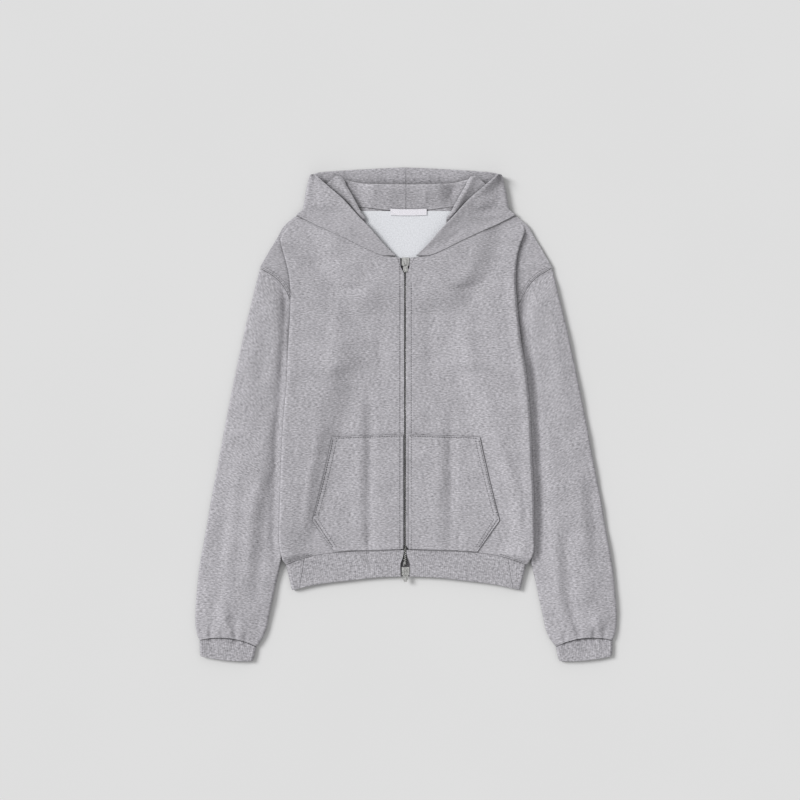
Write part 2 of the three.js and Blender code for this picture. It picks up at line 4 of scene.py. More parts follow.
import bpy
import numpy as np
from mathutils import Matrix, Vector


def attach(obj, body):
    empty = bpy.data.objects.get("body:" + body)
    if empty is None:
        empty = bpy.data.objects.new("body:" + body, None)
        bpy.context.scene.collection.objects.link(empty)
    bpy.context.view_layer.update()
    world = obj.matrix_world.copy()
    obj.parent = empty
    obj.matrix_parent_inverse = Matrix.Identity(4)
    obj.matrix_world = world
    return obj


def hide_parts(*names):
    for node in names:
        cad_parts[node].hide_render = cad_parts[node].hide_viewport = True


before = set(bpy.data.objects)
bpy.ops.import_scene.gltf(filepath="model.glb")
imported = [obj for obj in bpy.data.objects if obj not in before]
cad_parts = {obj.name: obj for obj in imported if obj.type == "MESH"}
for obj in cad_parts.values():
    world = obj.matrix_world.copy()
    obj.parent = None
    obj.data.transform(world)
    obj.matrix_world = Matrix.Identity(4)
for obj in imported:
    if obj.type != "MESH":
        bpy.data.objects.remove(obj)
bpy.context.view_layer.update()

# Sizes are millimetres on the garment: X across, Y from hem to hood, Z up. The built frame's origin is
# the middle of the garment's box, a little off the pattern's own. Right and left are the wearer's, so
# the right is at negative X.
FRAME_SHIFT_Y = -1.2418
MM = 0.001
SIDES = {"right": -1, "left": 1}

# How thick each cloth is
FLEECE = 2.6
HOOD_WALL = 2.8
RIB_WALL = 2.6

# Heights of the layers' middles above the surface, and the step from one layer to the next
BACK_MID = 1.3
THIRD_MID = 4.3
CENTRE_MID = 7.5
PITCH = 3.0

# Heights of the sleeve's faces: where it is free, at the armhole, over the side seam, under the fold
SLEEVE_TOP = 8.8
ARMHOLE_TOP = 5.6
SLEEVE_ON_SEAM = 6.2
UNDER_FOLD_TOP = 12.4

# The hood's folded bag lifts what lies over it
BAG_LIFT = 8.8
BAG_RAMP = 45
BAG_LEAST_HALF = 60
BAG_LIFT_FROM = 155

FOLD_R = 1.5
ZIP_X = -1.5
ZIP_OVERHANG = 0.9
SEAM = 0.3

# Outlines. Each front folds over its sleeve here, in rows of (y, x on the right, x on the left)
FOLD = [
    (-242, 192.5, 194), (-234, 197, 198), (-218, 200.5, 204), (-200, 203, 205), (-136, 201.5, 204.5),
    (-72, 199.5, 201.5), (-8, 196, 199), (56, 190.5, 193.5), (120, 188, 184), (184, 185, 177.5),
    (216, 186.5, 175.5), (246, 192.5, 177), (270, 199, 182), (292, 203, 190),
]
# Rows of (y, x) on the left side: the side seam and armhole, the neck seam, the zip's edge, the pocket's
# side, the hood's side and its front rim
EDGE = [
    (-242, 191), (-234, 195), (-200, 200), (-150, 196), (-88, 186), (8, 166), (30, 156), (64, 135),
    (88, 116), (112, 115), (235, 233.8), (245, 229), (264, 218), (283, 206.5), (302, 195.5), (320, 175),
]
NECK = [(251.5, 9), (254, 34), (263, 58), (277.5, 87), (291, 115.6), (305, 146), (320, 175)]
ZIP_EDGE = [
    (-262, 7), (-240, 7.5), (-232, 4.5), (-220, 2.2), (225, 2.2), (231, 4.8), (237, 8), (252, 8.5),
]
POCKET_SIDE = [
    (-222, 112), (-165, 149.5), (-128, 139.5), (-96, 131.5), (-61, 123.5), (-35, 118),
]
HOOD_SIDE = [(320, 175), (332, 165.5), (358, 160.5), (378, 156), (389, 151.5)]
RIM = [
    (254, 16), (270, 32.5), (284, 45), (296, 55), (318, 76), (344, 100), (364, 123), (378, 139), (385, 146),
]
# Rows of (x, y): the back's neck, the hem seam, the rib's end, the hood's top, its roll and its bag's end
BACK_NECK = [(0, 325), (32, 327.2), (75, 332), (112, 333), (150, 330), (175, 320)]
HEM = [
    (0, -215.5), (38, -217), (84, -218.3), (113, -220.4), (146, -224.6), (173, -232), (192, -239),
    (205, -243),
]
RIB_END = [(0, -258.4), (43, -260), (94, -265.2), (140, -271), (182, -280.4)]
HOOD_TOP = [(0, 396.8), (43, 395), (96, 392), (136, 389.4), (153, 384.8)]
ROLL = [(0, 368.8), (51, 369.6), (75, 372), (105, 379), (112, 380)]
BAG_END = [(0, 200), (60, 203), (90, 222), (105, 250), (112, 290)]
# The turned wing of the hood, in rows of (y, inner x, outer x)
WING = [
    (299, 54, 70), (310, 63, 83), (322, 73, 96), (338, 81.7, 111), (355, 91, 126), (366, 97.5, 129),
    (374, 101, 121), (381, 106, 113),
]
# The sleeve's and cuff's rings, in rows of (outer x, outer y, inner x, inner y, how far the ring bows)
SLEEVE = [
    (234.4, 235, 115.5, 111.4, 0), (237, 222, 118, 100, 0), (241, 207, 120.8, 88, 0),
    (246, 186, 124, 75, 0), (256, 146, 131, 45, 0), (270, 82, 143.6, -8, 0),
    (286, 3, 158, -68, 0), (300, -72, 172, -128, 0), (314, -146, 186, -180, 0),
    (320, -182, 194.5, -212, 0), (324.5, -206, 199.5, -234, 0), (331.6, -248, 206.4, -262, 0),
    (335.6, -290, 213.6, -296, 0), (337.6, -322, 219.2, -322, 2), (337, -338, 224, -344, 5),
    (334.5, -352, 230, -358, 8), (331, -361, 239.5, -371, 9.5),
]
CUFF = [
    (330.5, -361.7, 239.8, -371.7, 9.2), (330.5, -374, 242.5, -384, 3), (329.5, -386, 245.5, -394, -3),
]


def smooth(t):
    t = min(1.0, max(0.0, t))
    return t * t * (3 - 2 * t)


def smooth_array(t):
    t = np.clip(t, 0, 1)
    return t * t * (3 - 2 * t)


def ease(value, start, end):
    """Rises smoothly from 0 at the start to 1 at the end."""
    return smooth((value - start) / (end - start))


def ease_array(values, start, end):
    return smooth_array((values - start) / (end - start))


def mix(a, b, t):
    return a + (b - a) * t


def spread(a, b, count, closed=True):
    """Evenly spaced values from a to b."""
    return [mix(a, b, k / count) for k in range(count + (1 if closed else 0))]


def per_point(function, x, y):
    """A function of one point, worked out for every point of a grid."""
    return np.array([function(float(a), float(b)) for a, b in zip(x.ravel(), y.ravel())]).reshape(x.shape)


def upward(p):
    """Normals that all point up."""
    return np.broadcast_to(np.array([0.0, 0, 1]), p.shape).copy()


def curve(points):
    """A smooth curve through the points that never overshoots them."""
    k = sorted(points)
    rise = [(b[1] - a[1]) / (b[0] - a[0]) for a, b in zip(k, k[1:])]
    slope = []
    for i in range(len(k)):
        a = rise[max(0, i - 1)]
        b = rise[min(len(rise) - 1, i)]
        slope.append(0 if a * b <= 0 else 2 * a * b / (a + b))

    @lru_cache(maxsize=None)
    def at(value):
        v = min(k[-1][0], max(k[0][0], value))
        i = sum(1 for p in k[1:-1] if p[0] <= v)
        w = k[i + 1][0] - k[i][0]
        t = (v - k[i][0]) / w
        a = k[i][1] * (1 + 2 * t) * (1 - t) ** 2 + w * slope[i] * t * (1 - t) ** 2
        return a + k[i + 1][1] * t * t * (3 - 2 * t) + w * slope[i + 1] * t * t * (t - 1)

    return at


def column(rows, source, target):
    return curve([(row[source], row[target]) for row in rows])


fold_x = {"right": column(FOLD, 0, 1), "left": column(FOLD, 0, 2)}
seam_x = curve(EDGE)
neck_x = curve(NECK)
zip_edge_x = curve(ZIP_EDGE)
hood_side_x = curve(HOOD_SIDE)
rim_x = curve(RIM)
back_neck_y = curve(BACK_NECK)
hem_y = curve(HEM)
rib_end_y = curve(RIB_END)
hood_top_y = curve(HOOD_TOP)
roll_y = curve(ROLL)
bag_end_y = curve(BAG_END)
bag_half_x = column(BAG_END, 1, 0)
sleeve_in_x = column(SLEEVE, 3, 2)


def pocket_x(y):
    """The pocket's side edge, with its sharp corner."""
    return float(np.interp(y, [row[0] for row in POCKET_SIDE], [row[1] for row in POCKET_SIDE]))


# The armhole seam runs straight up from the armpit and bows towards the body near the shoulder
ARMPIT = (115, 112)
SHOULDER = (233.8, 235)
ARMHOLE_BOW = 8.0
BOW_START = 0.58
TO_BODY = (-0.719, 0.695)
DOWN_SLEEVE = (0.72, -0.694)


def armhole_bow(t):
    """How far the seam bows at a share t of its way from the armpit."""
    u = min(1.0, max(0.0, (t - BOW_START) / (1 - BOW_START)))
    return ARMHOLE_BOW * math.sin(math.pi * u)


def armhole_point(t, inward=0.0):
    out = armhole_bow(t) + inward
    x, y = (mix(ARMPIT[k], SHOULDER[k], t) + TO_BODY[k] * out for k in (0, 1))
    return x, y


ARMHOLE = [armhole_point(k / 60) for k in range(61)]


@lru_cache(maxsize=None)
def edge_x(y):
    """The outline of the body's cloth: the side seam, the armhole, then the shoulder."""
    if not ARMPIT[1] < y < SHOULDER[1]:
        return seam_x(y)
    return float(np.interp(y, [b for a, b in ARMHOLE], [a for a, b in ARMHOLE]))


def bag_lift(x, y):
    across = smooth((max(BAG_LEAST_HALF, bag_half_x(y)) + BAG_RAMP - x) / BAG_RAMP)
    return BAG_LIFT * across * smooth((y - BAG_LIFT_FROM) / BAG_RAMP)


def top_under_fold(y):
    risen = ARMHOLE_TOP + (UNDER_FOLD_TOP - ARMHOLE_TOP) * ease(y, 125, 75)
    return mix(SLEEVE_TOP, risen, ease(y, -262, -228))


def sleeve_top(side, x, y):
    """The upper face of a sleeve. It starts low at the armhole and stands high under the body's fold."""
    down = DOWN_SLEEVE[0] * (x - ARMPIT[0]) + DOWN_SLEEVE[1] * (y - ARMPIT[1])
    free = ARMHOLE_TOP + (SLEEVE_TOP - ARMHOLE_TOP) * smooth(down / 30)
    return mix(free, top_under_fold(y), smooth((fold_x[side](y) + 12 - x) / 14))


def sleeve_bottom(x, y):
    rise = ease(y, 112, 85) * ease(y, -270, -230)
    return SLEEVE_ON_SEAM * rise * smooth((edge_x(y) + 15 - x) / 12)


# Soft folds, each as (width, depth, points). Troughs have a negative depth. Signed x: the wearer's
# right is negative.
BODY_FOLDS = [
    (11, -2.4, [(-150, -24), (-166, -88), (-173, -136), (-179, -190)]),
    (8, 1.6, [(-136, -10), (-148, -70), (-157, -120), (-160, -200)]),
    (7, -2.6, [(-60, 60), (-58, -40), (-59, -130), (-59, -226)]),
    (4, -1.5, [(-58, -168), (-60, -190), (-59, -226)]),
    (9, 1.3, [(-74, 30), (-73, -60), (-76, -150), (-72, -212)]),
    (8, -2.6, [(74, 24), (72, -60), (72, -140), (70, -226)]),
    (4, -1.3, [(86, -178), (84, -196), (85, -218)]),
    (10, 1.4, [(52, 10), (54, -80), (50, -150), (50, -210)]),
    (10, -2.2, [(122, -40), (150, -90), (168, -136), (162, -190), (156, -226)]),
    (7, 1.4, [(136, -20), (160, -70), (182, -130), (180, -205)]),
    (12, -1.5, [(-30, 190), (-42, 120), (-36, 40)]),
    (13, -1.4, [(-120, 190), (-140, 120), (-146, 60)]),
    (12, 1.4, [(-96, 215), (-110, 150), (-118, 90), (-112, 20)]),
    (13, -1.5, [(110, 200), (128, 130), (132, 60)]),
    (12, 1.3, [(88, 210), (96, 140), (104, 70), (98, 0)]),
    (10, -1.3, [(44, 180), (38, 110), (42, 50)]),
    (9, -1.3, [(-176, 170), (-168, 120), (-172, 70)]),
    (9, -1.3, [(166, 170), (158, 120), (166, 60)]),
    (9, -1.1, [(-186, 262), (-150, 244), (-112, 236)]),
    (9, -1.1, [(178, 262), (146, 246), (108, 238)]),
]
SLEEVE_FOLDS = [
    (10, -2.6, [(-208, -88), (-224, -136), (-230, -200), (-238, -264), (-240, -310)]),
    (9, 1.8, [(-226, -80), (-244, -140), (-250, -200), (-256, -280)]),
    (11, -2.0, [(-284, -120), (-292, -190), (-300, -250)]),
    (10, 1.6, [(-268, -60), (-276, -140), (-284, -230), (-286, -310)]),
    (12, -1.8, [(-214, 160), (-222, 90), (-236, 20)]),
    (12, 1.6, [(-238, 170), (-248, 90), (-258, 10)]),
    (12, -1.7, [(-206, 70), (-228, -10), (-252, -70)]),
    (8, -1.6, [(-300, -270), (-306, -310), (-308, -340)]),
    (3.4, -3.2, [(-313, -334), (-313, -350), (-312, -384)]),
    (3.6, -3.4, [(-275, -334), (-274, -350), (-273, -388)]),
    (3.2, -2.4, [(-293, -344), (-294, -354), (-293, -384)]),
    (3.2, -2.6, [(-256, -345), (-257, -357), (-258, -388)]),
    (9, 2.6, [(-296, -300), (-290, -318), (-284, -340)]),
    (7, -2.6, [(-286, -322), (-276, -330), (-266, -334)]),
    (10, -2.6, [(256, -180), (257, -240), (262, -296), (274, -341)]),
    (9, 1.8, [(238, -150), (240, -220), (244, -290), (252, -340)]),
    (11, -1.9, [(292, -90), (300, -160), (306, -230)]),
    (11, 1.7, [(272, -60), (280, -130), (286, -220), (292, -300)]),
    (12, -1.8, [(206, 160), (220, 90), (234, 20)]),
    (12, 1.6, [(232, 180), (244, 90), (256, 10)]),
    (12, -1.7, [(214, 60), (232, -10), (254, -70)]),
    (4.5, -3.2, [(262, -290), (267, -320), (273, -341), (286, -384)]),
    (3.6, -3.2, [(300, -338), (301, -352), (300, -386)]),
    (3.2, -2.6, [(317, -342), (317, -352), (316, -384)]),
    (3.2, -2.6, [(252, -344), (254, -357), (256, -388)]),
    (8, 2.8, [(300, -322), (308, -336), (312, -344)]),
]
BACK_FOLDS = [
    (9, 1.1, [(-120, 90), (-128, 0), (-136, -90)]),
    (8, 1.0, [(-62, 60), (-60, -60), (-58, -190)]),
    (10, 1.1, [(10, 120), (4, 20), (14, -90)]),
    (8, 1.0, [(74, 20), (72, -90), (76, -195)]),
    (9, 1.1, [(132, 80), (140, -20), (150, -110)]),
]
HOOD_FOLDS = [
    (6, -1.6, [(-150, 330), (-128, 322), (-100, 318)]),
    (7, 1.3, [(-146, 346), (-128, 340), (-112, 334)]),
    (5, -1.3, [(-90, 300), (-76, 288), (-58, 276)]),
    (6, -1.6, [(150, 332), (126, 326), (102, 320)]),
    (7, 1.3, [(148, 348), (130, 342), (114, 336)]),
    (5, -1.3, [(92, 298), (78, 286), (60, 274)]),
    (8, -1.9, [(-92, 382), (-76, 356), (-64, 326)]),
    (8, -1.9, [(92, 382), (76, 356), (64, 326)]),
    (7, 1.0, [(-30, 366), (-26, 350), (-28, 332)]),
    (7, 1.0, [(34, 366), (28, 350), (30, 332)]),
    (7, -1.2, [(-120, 392), (-80, 388), (-30, 390)]),
    (7, -1.2, [(118, 391), (76, 387), (26, 390)]),
]
FOLD_STRENGTH = 1.2
# Slow swells of the whole cloth, each as (wave length, direction in degrees, height, phase)
SWELLS = [
    (96, 12, 0.35, 0.4), (71, 67, 0.3, 1.9), (53, 118, 0.26, 3.1), (41, 151, 0.2, 4.6),
    (33, 38, 0.16, 5.2), (24, 93, 0.1, 0.9),
]


def relief(folds, x, y, swell=1.0):
    """Height that the folds and swells add at each point."""
    total = np.zeros_like(x)
    for length, turn, height, phase in SWELLS:
        a = math.radians(turn)
        total += swell * height * np.sin(2 * math.pi * (x * math.cos(a) + y * math.sin(a)) / length + phase)
    for width, depth, points in folds:
        pts = np.array(points, float)
        steps = np.linalg.norm(np.diff(pts, axis=0), axis=1)
        nearest = np.full_like(x, np.inf)
        place = np.zeros_like(x)
        run = 0.0
        for (x0, y0), (x1, y1), step in zip(pts, pts[1:], steps):
            t = np.clip(((x - x0) * (x1 - x0) + (y - y0) * (y1 - y0)) / step ** 2, 0, 1)
            d = np.hypot(x - x0 - t * (x1 - x0), y - y0 - t * (y1 - y0))
            closer = d < nearest
            nearest = np.where(closer, d, nearest)
            place = np.where(closer, (run + t * step) / steps.sum(), place)
            run += step
        ends = np.sin(np.pi * np.clip(place, 0, 1)) ** 0.7
        total += FOLD_STRENGTH * depth * np.exp(-((nearest / width) ** 2)) * ends
    return total


# How far a rim may be rounded: freely at an open edge, hardly at a seam, where pieces meet closely
OPEN = 9.0
SEWN = 0.45
ALL_SEWN = {"row_rims": (SEWN, SEWN), "col_rims": (SEWN, SEWN)}
RIM_TURNS = (10, 38, 64, 90)


def soft_rims(p, n, h, axis, limits):
    """Rounds a wall's two rims along an axis, by rows that thin out like a half circle."""
    p, n, h = (np.moveaxis(a, axis, 0) for a in (p, n, h))
    for end in (0, 1):
        if end:
            p, n, h = p[::-1], n[::-1], h[::-1]
        along = p[1] - p[0]
        length = np.linalg.norm(along, axis=-1, keepdims=True)
        radius = np.minimum(np.minimum(h[0][..., None], limits[end]), 0.8 * length)
        along = along / np.maximum(length, 1e-6)
        new_p = [p[0] + along * radius * (1 - math.cos(math.radians(a))) for a in RIM_TURNS]
        new_h = [h[0] - radius[..., 0] * (1 - math.sin(math.radians(a))) for a in RIM_TURNS]
        p = np.concatenate([np.stack(new_p), p[1:]])
        n = np.concatenate([np.stack([n[0]] * len(RIM_TURNS)), n[1:]])
        h = np.concatenate([np.stack(new_h), h[1:]])
        if end:
            p, n, h = p[::-1], n[::-1], h[::-1]
    return (np.moveaxis(a, 0, axis) for a in (p, n, h))


def wall_arrays(p, n, half, wrapped=False, row_rims=(OPEN, OPEN), col_rims=(OPEN, OPEN)):
    """Vertices, quads and UVs of a closed wall round a grid of middle points."""
    h = np.broadcast_to(np.asarray(half, float), p.shape[:2]).copy()
    p, n, h = soft_rims(p, n, h, 0, row_rims)
    if not wrapped:
        p, n, h = soft_rims(p, n, h, 1, col_rims)
    rows, cols = p.shape[:2]
    verts = np.concatenate([(p + n * h[..., None]).reshape(-1, 3), (p - n * h[..., None]).reshape(-1, 3)])
    last = cols if wrapped else cols - 1
    wide = np.concatenate([p, p[:, :1]], axis=1)
    u = np.concatenate([np.zeros((rows, 1)), np.cumsum(np.linalg.norm(np.diff(wide, axis=1), axis=2), 1)], 1)
    u -= u[:, cols // 2:cols // 2 + 1]
    v = np.concatenate([np.zeros((1, cols)), np.cumsum(np.linalg.norm(np.diff(p, axis=0), axis=2), 0)], 0)
    v = np.repeat(v.mean(axis=1, keepdims=True), cols + 1, axis=1)
    uv = np.stack([u, v], axis=-1) * MM
    i, j = (a.ravel() for a in np.meshgrid(np.arange(rows - 1), np.arange(last), indexing="ij"))
    quads, corners = [], []

    def add(faces):
        quads.append(np.stack([f * rows * cols + a * cols + b % cols for f, a, b in faces], 1))
        corners.append(np.stack([uv[a, b] for f, a, b in faces], 1))

    zero, one = np.zeros_like(i), np.ones_like(i)
    add([(zero, i, j), (zero, i, j + 1), (zero, i + 1, j + 1), (zero, i + 1, j)])
    add([(one, i, j), (one, i + 1, j), (one, i + 1, j + 1), (one, i, j + 1)])
    j = np.arange(last)
    zero, one, top = np.zeros_like(j), np.ones_like(j), np.full_like(j, rows - 1)
    add([(zero, zero, j), (one, zero, j), (one, zero, j + 1), (zero, zero, j + 1)])
    add([(zero, top, j), (zero, top, j + 1), (one, top, j + 1), (one, top, j)])
    if not wrapped:
        i = np.arange(rows - 1)
        zero, one, end = np.zeros_like(i), np.ones_like(i), np.full_like(i, cols - 1)
        add([(zero, i, zero), (zero, i + 1, zero), (one, i + 1, zero), (one, i, zero)])
        add([(zero, i, end), (one, i, end), (one, i + 1, end), (zero, i + 1, end)])
    quads, corners = np.concatenate(quads), np.concatenate(corners)
    a, b, c, d = (verts[quads[:, k]] for k in range(4))
    volume = np.einsum("ij,ij->i", a, np.cross(b, c) + np.cross(c, d)).sum()
    if volume < 0:
        quads, corners = quads[:, ::-1], corners[:, ::-1]
    return verts, quads, corners


def mesh_object(name, parts, material):
    """One object from several (vertices, quads, UVs) parts in millimetres. Each part has its own place
    in the weave's pattern, so that no two are alike."""
    base, quads, uvs = 0, [], []
    count = len(bpy.data.meshes)
    for place, (v, q, c) in enumerate(parts):
        quads.append(q + base)
        uvs.append(c + [0.37 * count + 0.11 * place, 0.23 * count])
        base += len(v)
    verts = (np.concatenate([v for v, q, c in parts]) + [0, FRAME_SHIFT_Y, 0]) * MM
    quads, uvs = np.concatenate(quads), np.concatenate(uvs)
    mesh = bpy.data.meshes.new(name)
    mesh.from_pydata(verts.tolist(), [], quads.tolist())
    layer = mesh.uv_layers.new(name="cloth")
    layer.data.foreach_set("uv", uvs.reshape(-1))
    mesh.polygons.foreach_set("use_smooth", [True] * len(mesh.polygons))
    mesh.materials.append(material)
    mesh.update()
    piece = bpy.data.objects.new(name, mesh)
    bpy.context.collection.objects.link(piece)
    return piece


def dress(name, parts, material, nodes=(), body="garment"):
    piece = mesh_object(name, parts, material)
    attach(piece, body)
    if nodes:
        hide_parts(*nodes)
    return piece


# Tints, each as shares of red, green and blue
HEATHER_TINT = (1.0, 0.975, 1.035)
FLEECE_TINT = (0.97, 0.985, 1.03)
METAL_TINT = (1, 1, 0.98)
EVEN = (1, 1, 1)
# How far the painted crease shade reaches: cloth nearer than this darkens the colour
PAINTED_SHADE_REACH = 18 * MM


def grey(value, tint=HEATHER_TINT):
    return tuple(value * t for t in tint)


class Nodes:
    """A material's node tree, filled by short calls."""

    def __init__(self, name, roughness, specular=0.2, metallic=0.0, sheen=0.0):
        self.material = bpy.data.materials.new(name)
        self.material.use_nodes = True
        self.tree = self.material.node_tree
        self.shader = self.tree.nodes["Principled BSDF"]
        self.shader.inputs["Roughness"].default_value = roughness
        self.shader.inputs["Specular IOR Level"].default_value = specular
        self.shader.inputs["Metallic"].default_value = metallic
        self.shader.inputs["Sheen Weight"].default_value = sheen
        self.shader.inputs["Sheen Roughness"].default_value = 0.5

    def node(self, kind, **values):
        made = self.tree.nodes.new(kind)
        for key, value in values.items():
            setattr(made, key, value)
        return made

    def link(self, source, target):
        self.tree.links.new(source, target)

    def coordinates(self, scale, uv=True):
        """The cloth's own coordinates in metres, or the object's, scaled to waves per metre."""
        mapping = self.node("ShaderNodeMapping")
        mapping.inputs["Scale"].default_value = scale
        if uv:
            source = self.node("ShaderNodeUVMap", uv_map="cloth").outputs["UV"]
        else:
            source = self.node("ShaderNodeTexCoord").outputs["Object"]
        self.link(source, mapping.inputs["Vector"])
        return mapping.outputs["Vector"]

    def noise(self, scale, detail=2.0, rough=0.5, uv=True):
        made = self.node("ShaderNodeTexNoise")
        made.inputs["Scale"].default_value = 1.0
        made.inputs["Detail"].default_value = detail
        made.inputs["Roughness"].default_value = rough
        self.link(self.coordinates(scale, uv), made.inputs["Vector"])
        return made.outputs["Fac"]

    def ramp(self, value, stops):
        made = self.node("ShaderNodeValToRGB")
        elements = made.color_ramp.elements
        while len(elements) < len(stops):
            elements.new(0.5)
        for element, (place, colour) in zip(elements, stops):
            element.position = place
            element.color = (*colour, 1)
        self.link(value, made.inputs["Fac"])
        return made.outputs["Color"]

    def blend(self, kind, factor, a, b):
        made = self.node("ShaderNodeMix", data_type="RGBA", blend_type=kind)
        made.inputs["Factor"].default_value = factor
        self.link(a, made.inputs["A"])
        self.link(b, made.inputs["B"])
        return made.outputs["Result"]

    def painted_crease_shade(self):
        """Painted shade: the cloth's colour is darkened by an ambient occlusion node deep in narrow folds
        and crevices, where shade falls.
        """
        made = self.node("ShaderNodeAmbientOcclusion", samples=6)
        made.inputs["Distance"].default_value = PAINTED_SHADE_REACH
        return self.ramp(made.outputs["AO"], [
            (0.25, grey(0.2, EVEN)), (0.6, grey(0.66, EVEN)), (0.8, grey(0.9, EVEN)), (0.95, EVEN),
        ])

    def bump(self, height, distance, strength=1.0, after=None):
        made = self.node("ShaderNodeBump")
        made.inputs["Strength"].default_value = strength
        made.inputs["Distance"].default_value = distance
        self.link(height, made.inputs["Height"])
        if after is not None:
            self.link(after, made.inputs["Normal"])
        return made.outputs["Normal"]

    def finish(self, colour, normal=None):
        self.link(colour, self.shader.inputs["Base Color"])
        if normal is not None:
            self.link(normal, self.shader.inputs["Normal"])
        return self.material


def heather(name, level, fleck=(200, 540, 540)):
    """Mottled grey knit: long light and dark flecks across the cloth, over slow tone changes, with painted
    shade in its narrow folds.
    """
    m = Nodes(name, roughness=0.95, specular=0.12, sheen=0.12)
    flecks = m.noise(fleck, detail=3.0, rough=0.62)
    colour = m.ramp(flecks, [
        (0.30, grey(level * 0.52)), (0.42, grey(level * 0.84)), (0.5, grey(level)),
        (0.59, grey(level * 1.2)), (0.70, grey(level * 1.5)),
    ])
    slow = m.ramp(m.noise((26, 40, 40)), [(0.3, grey(0.91, EVEN)), (0.7, EVEN)])
    colour = m.blend("MULTIPLY", 1.0, colour, slow)
    # Painted shade: the colour is darkened where the cloth lies deep in narrow folds and crevices
    colour = m.blend("MULTIPLY", 1.0, colour, m.painted_crease_shade())
    normal = m.bump(m.noise((700, 1300, 1300)), 0.0006, 0.55)
    normal = m.bump(flecks, 0.0007, 0.5, normal)
    return m.finish(colour, normal)


def fleece_material():
    m = Nodes("white_fleece", roughness=1.0, specular=0.05, sheen=0.3)
    pile = m.noise((420, 420, 420), detail=4.0, rough=0.7)
    colour = m.ramp(pile, [(0.3, grey(0.68, FLEECE_TINT)), (0.7, grey(0.88, FLEECE_TINT))])
    return m.finish(colour, m.bump(pile, 0.0012, 0.7))


def woven_material(name, level, scale=900):
    m = Nodes(name, roughness=0.8, specular=0.2)
    weave = m.node("ShaderNodeTexChecker")
    weave.inputs["Scale"].default_value = 1.0
    weave.inputs["Color1"].default_value = (*grey(level * 0.85), 1)
    weave.inputs["Color2"].default_value = (*grey(level * 1.12), 1)
    m.link(m.coordinates((scale, scale, scale), uv=False), weave.inputs["Vector"])
    return m.finish(weave.outputs["Color"], m.bump(weave.outputs["Fac"], 0.0002, 0.4))


def metal_material(name, level, roughness):
    m = Nodes(name, roughness=roughness, specular=0.5, metallic=1.0)
    cast = m.noise((700, 500, 700), detail=3.0, uv=False)
    colour = m.ramp(cast, [(0.38, grey(level * 0.5, METAL_TINT)), (0.6, grey(level, METAL_TINT))])
    return m.finish(colour, m.bump(cast, 0.0006, 0.6))


def thread_material():
    m = Nodes("thread", roughness=0.85, specular=0.2)
    twist = m.noise((1500, 1500, 1500), uv=False)
    return m.finish(m.ramp(twist, [(0.35, grey(0.11)), (0.65, grey(0.19))]))


JERSEY = heather("grey_jersey", 0.45)
HOOD_JERSEY = heather("hood_jersey", 0.44)
RIB = heather("grey_rib", 0.44, (230, 330, 330))
PILE = fleece_material()
TAPE = woven_material("zip_tape", 0.10)
LABEL = woven_material("white_label", 0.82, 1400)
NICKEL = metal_material("nickel", 0.9, 0.32)
TOOTH = metal_material("zip_tooth", 0.5, 0.34)
THREAD = thread_material()


# The fronts, with the pleat that folds each side edge over its sleeve. The pleat opens towards its top,
# over a run of rows, and is fully folded from a turn in radians on.
PLEAT_TOP = {"right": 280, "left": 288}
PLEAT_START = 26
PLEAT_RUN = 46
PLEAT_FOOT = 105
PLEAT_LEAST = 2.6
FOLDED_FROM, FOLDED_RUN = 2.5, 0.6
CREST_RAMP = 50
NECK_START = NECK[0][0]
SIDE_FOOT = FOLD[0][0]


@lru_cache(maxsize=None)
def pleat(side, y):
    """The fold's x, its turn, the crease's x, how far it is folded and how far it runs back in."""
    fold = fold_x[side](y) - FOLD_R - FLEECE / 2
    top = PLEAT_TOP[side]
    turn = math.pi * smooth((top + PLEAT_START - y) / PLEAT_RUN)
    line = mix(PLEAT_FOOT, fold_x[side](top), (y - ARMPIT[1]) / (top - ARMPIT[1]))
    hidden = min(sleeve_in_x(y) + 1, edge_x(y) - 6)
    valley = min(mix(hidden, line, ease(y, 106, 118)), fold - PLEAT_LEAST)
    folded = smooth((turn - FOLDED_FROM) / FOLDED_RUN)
    return fold, turn, valley, folded, mix(PLEAT_LEAST, fold - valley, folded)


@lru_cache(maxsize=None)
def return_mid(y):
    """Height of the cloth on its way back in, over the sleeve."""
    armpit_room = 1.6 * ease(y, 160, 130) * ease(y, 50, 80)
    above = top_under_fold(y) + 1.7 + armpit_room
    return mix(THIRD_MID + PITCH, above, 1 if y > ARMPIT[1] else ease(y, -243, -228))


def front_flat(side, x, y):
    """Height of a front's open layer, before the hood's bag lifts it."""
    fold, turn, valley, folded, inward = pleat(side, y)
    step = 2 * FOLD_R * (1 - math.cos(turn)) + inward * math.sin(turn)
    edge = mix(THIRD_MID + 0.6 + step, return_mid(y) + PITCH, folded)
    crest = mix(min(fold - 3, valley), valley, folded)
    return mix(edge, CENTRE_MID, smooth((crest - x) / CREST_RAMP))


def front_mid(side, x, y):
    return front_flat(side, x, y) + bag_lift(x, y)


# Columns of a front: three stretches of the open layer, the first with its zip band, then the turns, the
# way back in and the hidden rest
FRONT_COLUMNS = (32, 20, 20)
BAND_COLUMNS = 15
FRONT_ARC = 8
RETURN_COLUMNS = 12
HIDDEN_COLUMNS = 6
BAND_GRID = 14


